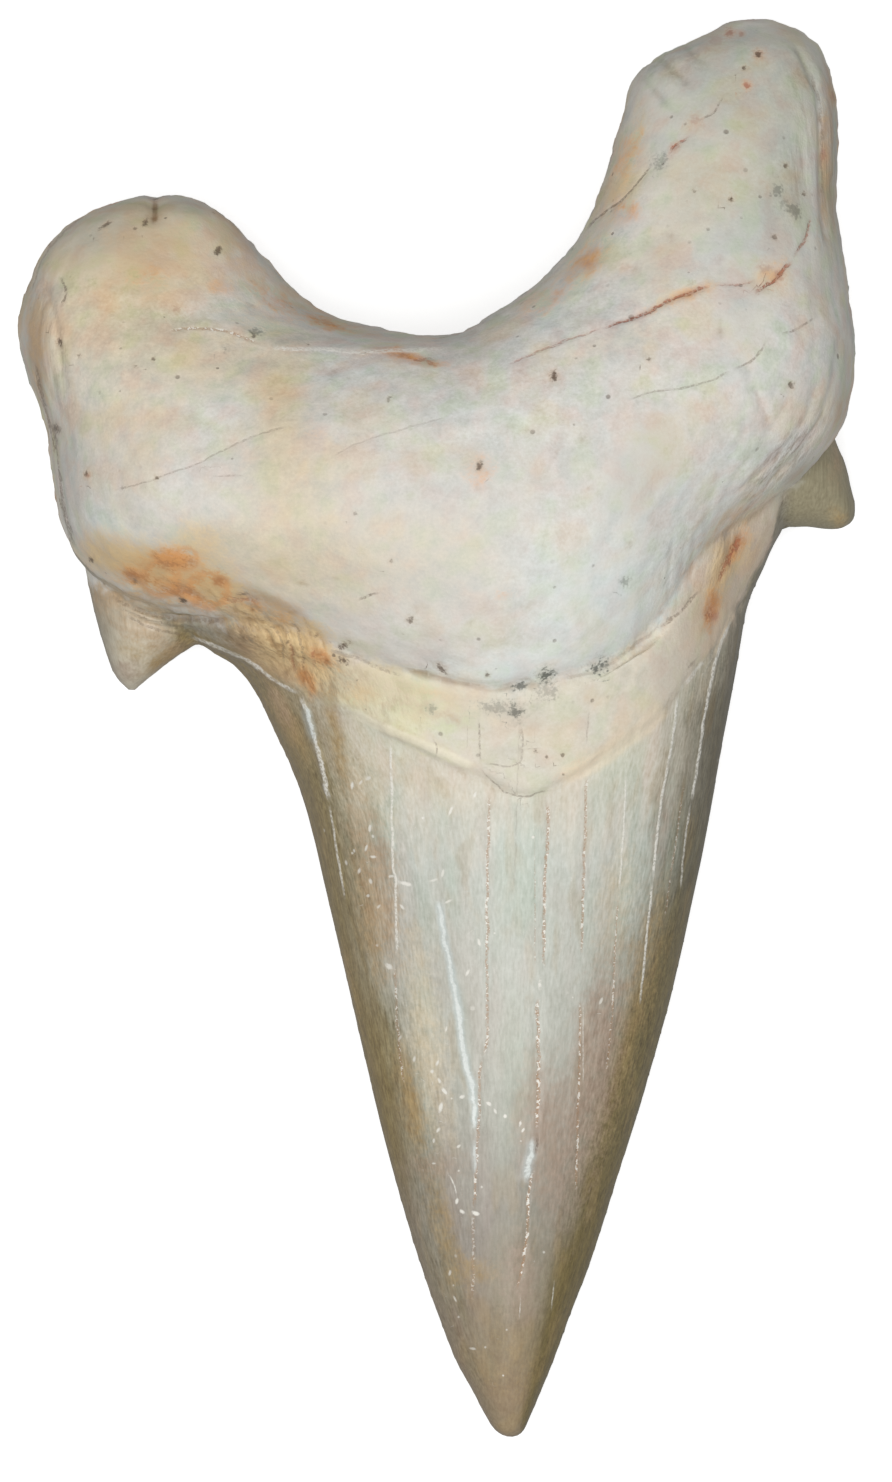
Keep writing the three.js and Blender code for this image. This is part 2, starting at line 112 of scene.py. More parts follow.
# Cracks and creases by finish, as rows of a Line's values, and lines of painted light: glints and lit lips.
# Lines of one finish keep about a millimetre apart, because a point of the surface carries only the nearest
# of them.
LINES = {
    "rust": [
        ([(3.8, 20.4), (6.7, 21.6), (7.8, 22.0), (9.2, 22.5)], 0.06, 0.45, 0.03),
        ([(9.2, 22.5), (11.3, 23.2), (13.2, 24.1), (14.0, 24.4), (15.3, 24.9)], 0.085, 0.9, 0.08),
        ([(15.3, 24.9), (16.0, 24.95), (16.7, 24.9), (17.5, 25.05), (17.9, 25.3)], 0.06, 0.45, 0.03),
        ([(17.7, 24.3), (18.8, 25.2), (19.35, 25.75), (19.9, 26.4)], 0.09, 0.95, 0.08),
        ([(19.9, 26.4), (20.4, 27.2), (20.8, 28.1), (21.0, 29.0)], 0.065, 0.7, 0.04),
        ([(12.9, 32.2), (13.2, 32.6), (14.2, 33.4)], 0.08, 0.85, 0.05),
        ([(-2.2, 21.2), (-1.3, 20.8), (0.2, 20.5)], 0.12, 0.4),
        ([(17.1, 11.2), (16.3, 9.6), (15.7, 8.2)], 0.15, 0.75, 0.08),
        ([(15.4, 7.2), (15.2, 5.9)], 0.14, 0.6, 0.05),
        ([(-12.4, 7.5), (-11.6, 7.3), (-10.6, 7.35), (-9.8, 7.0)], 0.11, 0.5, 0.03),
        ([(-8.3, 5.2), (-8.1, 4.2), (-8.1, 3.0)], 0.08, 0.5),
        ([(-7.1, 5.0), (-6.95, 4.2), (-7.0, 3.2)], 0.08, 0.4),
    ],
    "grey": [
        ([(-6.3, 4.5), (-4.9, 4.2), (-4.0, 3.8), (-3.1, 3.45), (-1.8, 3.0)], 0.1, 0.5, 0.05),
        ([(6.9, 2.85), (8.9, 3.3), (10.3, 4.2), (11.7, 5.2), (12.8, 6.2)], 0.09, 0.35, 0.05),
        ([(12.3, 5.6), (13.7, 6.8), (14.3, 7.4), (14.85, 8.0)], 0.1, 0.75, 0.09),
        ([(4.8, -1.05), (5.9, -1.0)], 0.04, 0.6, 0.02),
        ([(20.8, 37.3), (21.4, 35.7), (21.6, 33.9), (21.6, 32.0), (21.6, 29.9)], 0.09, 0.5, 0.03),
        ([(13.9, 3.2), (14.3, 3.7), (14.8, 4.2)], 0.08, 0.6, 0.03),
        ([(10.6, 18.4), (12.0, 18.9), (13.7, 19.1), (15.1, 19.5), (16.5, 20.1)], 0.055, 0.55, 0.03),
        ([(16.5, 20.1), (17.7, 20.8), (18.5, 21.8)], 0.065, 0.7, 0.04),
        ([(19.1, 22.1), (20.2, 22.5), (21.3, 23.2)], 0.06, 0.7, 0.04),
        ([(8.3, 28.1), (9.2, 29.0), (10.3, 29.7), (11.0, 30.5), (12.1, 31.8)], 0.055, 0.85, 0.05),
        ([(14.5, 34.1), (15.6, 34.8), (15.8, 35.2), (16.1, 35.8)], 0.055, 0.65, 0.04),
        ([(-18.2, 13.4), (-16.2, 13.9), (-15.1, 14.3), (-13.4, 14.9), (-11.2, 16.0), (-9.7, 16.6),
          (-8.3, 17.0)], 0.05, 0.45, 0.03),
        ([(-12.7, 14.2), (-10.6, 14.2)], 0.05, 0.45, 0.02),
        ([(-22.7, 20.8), (-22.2, 18.6), (-21.6, 16.6), (-21.25, 14.4), (-21.0, 12.2),
          (-20.4, 10.2)], 0.1, 0.85, 0.1),
        ([(-22.9, 24.6), (-22.3, 26.4), (-21.2, 27.9), (-19.7, 29.2)], 0.06, 0.5, 0.04),
        ([(-21.4, 25.6), (-20.9, 24.9), (-20.9, 24.2), (-21.3, 23.6)], 0.07, 0.85, 0.05),
        ([(-6.0, 15.2), (-4.4, 16.0), (-2.7, 16.6), (0.6, 17.5)], 0.05, 0.3, 0.02),
        ([(-9.9, 5.95), (-9.3, 5.85), (-8.8, 5.2), (-8.65, 4.2), (-8.7, 3.5)], 0.08, 0.6),
        ([(-8.6, 6.1), (-8.1, 5.9), (-7.7, 5.2), (-7.5, 4.2), (-7.5, 3.2)], 0.08, 0.6),
        ([(-18.4, 7.65), (-17.2, 6.9), (-15.5, 6.4), (-13.5, 6.2), (-11.8, 6.1)], 0.11, 0.65, 0.04),
        ([(-17.7, 6.55), (-16.5, 5.95), (-14.7, 5.45), (-14.0, 5.2)], 0.09, 0.65, 0.04),
        ([(-13.9, 5.1), (-12.6, 4.55), (-11.2, 3.85)], 0.08, 0.35, 0.03),
        ([(-4.6, 7.2), (-3.9, 7.5), (-3.1, 7.7)], 0.07, 0.9, 0.04),
        ([(2.3, 0.8), (2.35, -0.6), (2.4, -1.9)], 0.05, 0.7, 0.03),
        ([(2.5, -1.9), (4.6, -1.8), (4.7, 0.5)], 0.045, 0.5, 0.02),
        ([(2.35, -2.0), (2.6, -2.4), (3.1, -2.85), (3.9, -3.5), (5.0, -3.7), (5.7, -3.5),
          (6.4, -3.4)], 0.045, 0.65, 0.03),
        ([(-0.3, -0.3), (0.0, -1.0), (-0.2, -1.7)], 0.045, 0.6, 0.02),
        ([(8.5, 1.2), (8.35, -0.9)], 0.045, 0.4, 0.02),
        ([(5.7, -22.6), (5.6, -23.4), (5.45, -24.1)], 0.07, 1.0, 0.04),
        ([(4.6, 0.6), (4.3, -9.0)], 0.04, 0.25),
    ],
    "white": [
        ([(-14.0, 5.35), (-12.6, 4.8), (-11.2, 4.15), (-10.4, 3.75), (-9.2, 2.85),
          (-7.7, 2.05)], 0.1, 0.8, -0.1),
        # these two run down the enamel's left ridge, painted white as the highlight where it catches the
        # light
        ([(-7.7, 2.05), (-7.3, 0.8), (-6.6, -1.6), (-6.1, -4.1)], 0.12, 0.95, -0.1),
        ([(-6.1, -4.1), (-5.6, -7.2), (-5.2, -9.6)], 0.06, 0.8, -0.05),
        # the white core of the painted glint down the blade
        ([(1.0, -15.0), (1.2, -15.9), (1.4, -17.8), (1.75, -19.3), (2.0, -20.4)], 0.13),
        ([(-2.6, -0.6), (-2.6, -2.1), (-2.5, -7.4), (-2.35, -8.6), (-2.3, -12.8)], 0.07, 0.9),
        ([(13.5, 2.1), (13.25, -0.3), (12.6, -3.9), (12.1, -8.5)], 0.07, 1.0, -0.03),
        ([(12.1, -8.5), (11.7, -12.5), (11.4, -15.5)], 0.06, 0.95),
        ([(16.6, 6.3), (15.8, 4.4), (15.1, 1.2), (14.7, -1.7), (14.3, -4.0)], 0.08, 1.0, -0.05),
        ([(14.3, -4.0), (13.9, -6.6), (13.7, -9.0)], 0.055, 0.75),
        ([(15.2, 4.2), (14.3, 3.1), (13.6, 2.2)], 0.1, 0.6),
        ([(10.6, -2.4), (10.4, -6.6), (10.2, -9.1)], 0.055, 0.8),
        ([(5.8, -13.7), (5.8, -14.8)], 0.09),
        ([(-9.4, 21.5), (-8.2, 21.35), (-6.4, 21.35), (-4.3, 21.2), (-1.6, 21.3),
          (0.7, 21.5)], 0.12, 0.8, -0.03),
        ([(8.2, -15.1), (8.2, -20.0)], 0.035, 0.45),
        ([(0.5, -24.8), (0.9, -25.5), (1.1, -26.4)], 0.045, 0.8),
        ([(6.6, -30.9), (6.4, -32.8)], 0.035, 0.6),
        ([(4.7, -31.8), (4.6, -33.3)], 0.035, 0.6),
    ],
    # Painted glints: scratches in the polish drawn as bright bluish white streaks of reflected light, down
    # the blade and on the left ridge.
    "streak": [
        ([(0.05, -9.4), (0.35, -11.4), (0.6, -12.7), (0.9, -14.2), (1.2, -15.9), (1.4, -17.8),
          (1.75, -19.3), (2.05, -20.8), (2.1, -22.6)], 0.09, 0.95, 0.03),
        ([(2.1, -22.9), (2.1, -25.2)], 0.07, 0.5, 0.01),
        ([(5.4, -22.8), (5.2, -23.8), (5.05, -24.9), (4.95, -25.6)], 0.11, 0.85),
        ([(-7.5, 1.6), (-7.2, 0.4), (-6.9, -0.8)], 0.1, 0.8),
    ],
    # Painted light: the left lip is white as the highlight on its raised ledge, the right one peach,
    # lightened against the crease's shade.
    "lip": [
        ([(-5.0, 1.1), (-3.2, 0.25), (-1.3, -0.55), (0.5, -1.35), (2.3, -2.15)], 0.26, 0.95),
        ([(6.7, -2.7), (8.0, -2.2), (9.2, -1.6), (10.3, -0.7), (11.4, 0.0), (12.9, 1.5)], 0.6, 0.65),
        ([(16.8, 7.0), (16.1, 5.4), (15.5, 3.9)], 0.15, 0.7),
    ],
    "amber": [
        ([(2.95, -3.5), (2.8, -7.9), (2.8, -13.0), (2.8, -17.0), (2.6, -18.4)], 0.08, 0.8, 0.01),
        ([(2.55, -18.4), (2.35, -19.6), (2.35, -21.3), (2.15, -25.2), (2.0, -27.0)], 0.08, 0.9, 0.01),
        ([(2.0, -27.0), (2.05, -29.0), (1.95, -32.2)], 0.09, 0.4),
        ([(6.2, -3.9), (6.15, -6.5), (6.0, -8.5), (6.0, -13.4)], 0.09, 0.9, 0.02),
        ([(5.65, -14.9), (5.6, -17.1), (5.7, -19.1), (5.6, -22.5)], 0.1, 0.95, 0.03),
        ([(5.4, -24.6), (5.1, -26.0), (5.1, -27.1), (5.0, -28.8), (4.75, -30.2),
          (4.5, -31.6)], 0.08, 0.9, 0.03),
        ([(8.4, -2.5), (8.3, -4.7), (8.2, -8.5), (8.1, -12.7)], 0.075, 0.8, 0.01),
        ([(8.05, -15.1), (7.95, -20.0), (7.8, -26.0)], 0.065, 0.75, 0.01),
        ([(10.15, -9.3), (10.0, -12.0), (9.8, -16.4), (9.5, -19.4)], 0.055, 0.7),
        ([(13.9, -2.9), (13.5, -5.8), (13.1, -8.4), (12.8, -10.6)], 0.05, 0.6),
        ([(-2.35, -13.2), (-2.3, -16.0), (-1.9, -20.0)], 0.07, 0.7),
        ([(-15.1, 22.4), (-13.4, 22.5), (-11.7, 22.3), (-10.5, 21.8), (-9.8, 21.6)], 0.08, 0.8, 0.03),
    ],
}
LINES = {finish: [Line(*row) for row in rows] for finish, rows in LINES.items()}

# Creases and ridges that only have form, as rows of a Line's values. A cut below zero stands proud.
CREASES = [
    ([(-19.3, 8.3), (-18.3, 7.6), (-17.2, 6.9), (-15.5, 6.4), (-13.5, 6.2), (-11.4, 6.1)], 0.2, 1.0, 0.26),
    ([(-18.6, 7.3), (-17.7, 6.7), (-16.5, 6.05), (-14.7, 5.55), (-14.0, 5.3)], 0.18, 1.0, 0.22),
    ([(-18.9, 7.0), (-17.4, 6.1), (-16.1, 5.5)], 0.16, 1.0, 0.14),
    ([(-15.6, 5.95), (-13.8, 5.7), (-12.2, 5.1)], 0.15, 1.0, 0.1),
    ([(-17.2, 7.9), (-15.4, 7.0), (-13.2, 6.75)], 0.2, 1.0, 0.1),
    ([(-10.4, 5.6), (-9.8, 5.6), (-9.35, 5.1), (-9.2, 4.3)], 0.14, 1.0, 0.1),
    ([(-9.9, 5.95), (-9.3, 5.85), (-8.8, 5.2), (-8.65, 4.2), (-8.7, 3.5)], 0.14, 1.0, 0.12),
    ([(-9.3, 6.2), (-8.7, 6.0), (-8.25, 5.3), (-8.1, 4.2), (-8.1, 3.2)], 0.14, 1.0, 0.12),
    ([(-8.6, 6.1), (-8.1, 5.9), (-7.7, 5.2), (-7.5, 4.2), (-7.5, 3.2)], 0.14, 1.0, 0.12),
    ([(-8.0, 5.9), (-7.4, 5.6), (-7.1, 5.0), (-6.9, 4.2)], 0.14, 1.0, 0.1),
    ([(-7.3, 5.6), (-6.7, 5.2), (-6.4, 4.6), (-6.3, 3.8)], 0.14, 1.0, 0.1),
    ([(-3.6, 0.35), (-1.8, -0.35), (-0.4, -1.05), (1.0, -1.65), (2.3, -2.2)], 0.35, 1.0, -0.09),
    ([(-16.0, 30.6), (-15.9, 29.4), (-16.0, 28.2)], 0.4, 1.0, 0.35),
    ([(12.3, 38.1), (13.2, 37.1), (14.2, 36.2)], 0.35, 1.0, 0.16),
    ([(13.6, 38.8), (14.4, 37.9), (15.2, 37.0)], 0.35, 1.0, 0.14),
    ([(11.6, 36.6), (12.3, 35.8), (12.9, 34.8)], 0.35, 1.0, 0.1),
    ([(19.9, 38.9), (20.8, 37.3), (21.4, 35.7), (21.6, 33.9), (21.6, 32.0), (21.6, 29.6),
      (21.9, 27.0)], 0.22, 1.0, 0.16),
    ([(21.0, 37.9), (21.8, 36.0), (22.1, 33.5), (22.1, 30.5)], 0.3, 1.0, -0.1),
    ([(20.4, 35.0), (20.6, 32.4), (20.5, 29.9)], 0.3, 1.0, 0.05),
    ([(22.6, 22.5), (21.9, 18.4), (20.3, 15.6), (18.2, 13.6)], 0.22, 1.0, 0.12),
    ([(21.6, 20.0), (20.6, 17.4), (19.0, 15.4), (17.0, 13.4)], 0.22, 1.0, 0.1),
    ([(20.0, 19.0), (18.9, 17.0), (17.3, 15.0), (15.8, 12.6)], 0.25, 1.0, 0.07),
    ([(17.6, 17.4), (16.3, 15.0), (14.9, 12.0)], 0.3, 1.0, 0.06),
    ([(17.4, 19.6), (18.2, 18.2), (18.8, 16.4)], 0.3, 1.0, 0.13),
    ([(14.6, 11.4), (14.4, 9.6), (14.3, 8.0)], 0.14, 1.0, 0.06),
    ([(14.0, 11.2), (13.8, 9.2), (13.6, 7.4)], 0.14, 1.0, 0.05),
    ([(13.3, 11.0), (13.1, 9.0), (12.9, 7.0)], 0.14, 1.0, 0.05),
    ([(-22.5, 26.0), (-21.6, 23.4), (-21.2, 20.6), (-20.6, 18.4)], 0.22, 1.0, 0.1),
    ([(-22.0, 19.4), (-20.9, 17.4), (-20.3, 15.2)], 0.22, 1.0, 0.08),
    ([(-14.8, 22.5), (-11.4, 22.3), (-9.6, 21.6), (-8.3, 21.4), (-5.0, 21.3),
      (-1.6, 21.4)], 0.4, 1.0, -0.1),
]
CREASES = [Line(*row) for row in CREASES]
SHAPED_LINES = [line for group in LINES.values() for line in group] + CREASES

# Spots on the inner face by kind, as rows of a Spot's values.
SPOTS = {
    # small brown pits, which are also dented in the surface
    "pit": [
        (0.28, 3.36, 0.15, 0.85, 2.2, -42), (2.8, 3.1, 0.11, 0.75), (-1.5, 6.1, 0.18, 0.8),
        (-5.3, 4.7, 0.16, 0.95, 2.0, 30), (-5.3, 3.96, 0.2, 1.0, 1.6, -40), (-5.8, 4.2, 0.12, 0.8),
        (-8.4, 4.95, 0.13, 0.7), (-6.8, 5.3, 0.12, 0.6), (-14.3, 7.3, 0.19), (-17.0, 8.3, 0.14, 0.6),
        (-19.45, 9.6, 0.15, 0.9), (-10.9, 7.6, 0.13, 0.6, 2.0), (-4.5, 2.8, 0.1, 0.5),
        (5.5, -1.15, 0.1, 0.7), (6.1, -1.5, 0.08, 0.7), (7.0, -1.4, 0.09, 0.7), (7.05, -2.45, 0.07, 0.6),
        (17.2, 37.2, 0.13, 0.85), (18.0, 38.0, 0.16, 0.9, 1.4, -70), (19.5, 31.7, 0.15, 0.85),
        (20.6, 30.1, 0.16, 0.7), (16.45, 29.8, 0.17), (18.9, 27.6, 0.15, 0.65), (14.4, 30.2, 0.1, 0.45),
        (6.5, 19.8, 0.16, 1.0, 1.7, 80), (11.8, 20.7, 0.12, 0.7), (19.8, 19.3, 0.14, 0.8),
        (2.35, 14.7, 0.15, 0.9, 1.6, 80), (-2.7, 18.5, 0.13, 0.5, 1.8, 80),
        (-12.3, 27.0, 0.15, 0.95, 1.9, 60), (-16.4, 28.6, 0.14, 0.9, 1.8, 65), (-17.0, 28.2, 0.12, 0.6),
        (-18.7, 28.4, 0.11, 0.8, 3.2, 40), (-21.2, 21.8, 0.14, 0.9, 2.0, -60), (-20.1, 21.0, 0.11, 0.5),
        (-21.4, 17.0, 0.2, 0.8, 1.6, -50), (-19.7, 14.4, 0.12, 0.8, 1.8, 80), (-15.7, 14.1, 0.11, 0.9),
        (-10.3, 22.1, 0.13, 0.8), (-7.2, 21.6, 0.1, 0.6), (-14.4, 7.4, 0.1, 0.5), (-15.9, 20.8, 0.11, 0.7),
        (-16.9, 20.4, 0.1, 0.5), (-2.6, 9.4, 0.11, 0.5), (-4.6, 12.1, 0.11, 0.4),
    ],
    # grey smudges
    "smudge": [
        (6.05, 3.0, 0.36), (6.05, 2.3, 0.55, 0.35), (4.6, 2.5, 0.17, 0.9, 2.4, 10), (8.8, 3.45, 0.28),
        (9.25, 3.7, 0.3, 0.95, 1.3, 40), (4.4, 1.0, 0.34, 0.85), (3.3, 1.25, 0.3, 0.4, 3.2, -12),
        (-0.36, 1.2, 0.22, 0.45), (12.55, 31.9, 0.4, 0.45), (19.1, 30.3, 0.24, 0.55, 1.5, 60),
        (19.9, 29.1, 0.28, 0.55, 1.5, -40), (19.35, 29.5, 0.25, 0.3), (10.5, 8.3, 0.26, 0.45),
        (-10.2, 22.3, 0.2, 0.5, 1.5, -20), (-11.9, 21.3, 0.18, 0.35),
    ],
    # specks of rust
    "red": [
        (18.0, 38.0, 0.28, 0.45), (17.37, 36.2, 0.19, 0.9), (16.45, 39.3, 0.26, 0.7),
        (17.1, 39.2, 0.14, 0.5), (15.7, 38.8, 0.4, 0.2), (14.5, 34.2, 0.3, 0.3), (13.3, 32.7, 0.2, 0.4),
        (-19.6, 14.3, 0.16, 0.6), (8.4, 26.2, 0.3, 0.35), (18.3, 25.8, 0.4, 0.35), (19.1, 25.4, 0.36, 0.45),
        (-14.6, 23.6, 0.24, 0.35), (21.7, 32.3, 0.22, 0.45, 2.0, 85), (22.3, 35.7, 0.2, 0.5, 1.8, -70),
        (15.65, 6.5, 0.2, 0.5, 1.6, 85), (14.1, 24.5, 0.3, 0.25, 3.0, 20),
    ],
    # round stains with an orange rim
    "ring": [
        (-12.85, 7.85, 0.95, 0.9, 1.15, -10), (-15.5, 8.5, 0.9, 0.8, 1.1, 20), (-14.0, 9.6, 0.6, 0.6),
    ],
    # chips and flecks where the enamel's polish is broken
    "chip": [
        (-4.8, -3.1, 0.07, 1.0, 2.2, 80), (-4.3, -2.9, 0.06, 0.8, 2.0, 60),
        (-3.9, -2.7, 0.08, 0.7, 1.6, 30), (-0.8, -4.9, 0.07), (0.75, -4.5, 0.07, 1.0, 3.2, 65),
        (2.1, -3.6, 0.07, 1.0, 2.2, 65), (-3.8, -5.5, 0.07, 0.9, 2.0, 80), (-4.0, -6.6, 0.06, 0.9, 2.6, 75),
        (-3.6, -7.1, 0.07, 0.9, 2.2), (-4.8, -6.9, 0.06, 0.7), (-4.4, -7.9, 0.07, 0.8, 2.0, 70),
        (-2.6, -8.2, 0.06, 0.8, 2.4, 5), (-1.8, -8.6, 0.08, 1.0, 3.4, -15), (-3.9, -9.3, 0.07, 0.8),
        (-3.3, -9.9, 0.06, 0.7, 2.0, 45), (-2.0, -9.9, 0.06, 0.9, 2.6, -50),
        (0.3, -8.0, 0.06, 0.7, 2.8, 75), (-0.2, -8.4, 0.05, 0.6, 3.6, 15), (0.6, -9.6, 0.06, 0.7, 3.0, 25),
        (2.35, -11.9, 0.07, 0.9, 2.8, -75), (1.7, -13.6, 0.08, 0.9, 2.0, 60),
        (-2.7, -13.3, 0.11, 0.9, 1.6, -30), (-3.4, -12.1, 0.08, 0.6), (-1.3, -18.5, 0.07, 0.8, 2.2, 80),
        (0.2, -21.2, 0.09, 1.0, 2.6, 75), (0.05, -22.5, 0.07, 0.9, 1.8, 60),
        (-0.2, -23.1, 0.05, 0.7, 2.2, 85), (1.2, -23.4, 0.06, 0.8, 1.8, 40), (1.2, -24.8, 0.05, 0.7),
        (-0.2, -24.4, 0.05, 0.7, 2.0), (1.1, -26.5, 0.07, 1.0, 1.8, 80), (1.4, -27.1, 0.08, 1.0, 1.5, -40),
        (2.15, -27.2, 0.08, 1.0, 1.8, -20), (2.5, -25.7, 0.06, 0.6), (0.7, -30.6, 0.07, 0.7, 1.8, 80),
        (0.9, -31.3, 0.05, 0.6), (1.0, -32.1, 0.05, 0.7, 3.0, -60), (1.2, -33.1, 0.06, 0.6),
        (2.0, -34.9, 0.06, 0.6, 2.4, -10), (2.7, -34.8, 0.05, 0.5), (3.7, -36.4, 0.05, 0.8),
        (3.9, -33.8, 0.05, 0.5), (6.0, -29.4, 0.06, 0.6), (9.2, -15.2, 0.06, 0.7, 2.6, 65),
        (-2.1, -17.3, 0.06, 0.6, 2.0, 60), (2.0, -15.6, 0.12, 0.45), (0.5, -16.8, 0.06, 0.8, 2.4, 75),
        (0.0, -18.7, 0.07, 0.9, 1.8, 70), (-0.3, -19.2, 0.09, 0.9), (0.1, -19.7, 0.07, 0.9, 1.8, -60),
        (0.4, -20.3, 0.07, 1.0, 2.4, -55), (0.8, -20.7, 0.05, 0.7), (1.4, -20.6, 0.08, 0.9, 1.6, 10),
        (2.9, -21.0, 0.08, 0.9, 1.5, -40), (3.25, -21.4, 0.06, 0.8, 2.2, -60), (3.8, -21.7, 0.09),
        (4.65, -22.1, 0.07, 0.9, 2.0, 80), (4.8, -22.5, 0.06, 0.9, 2.0, 60), (4.7, -23.1, 0.05, 0.6),
        (7.6, -15.0, 0.05, 0.5),
    ],
}
SPOTS = {kind: [Spot(*row) for row in rows] for kind, rows in SPOTS.items()}
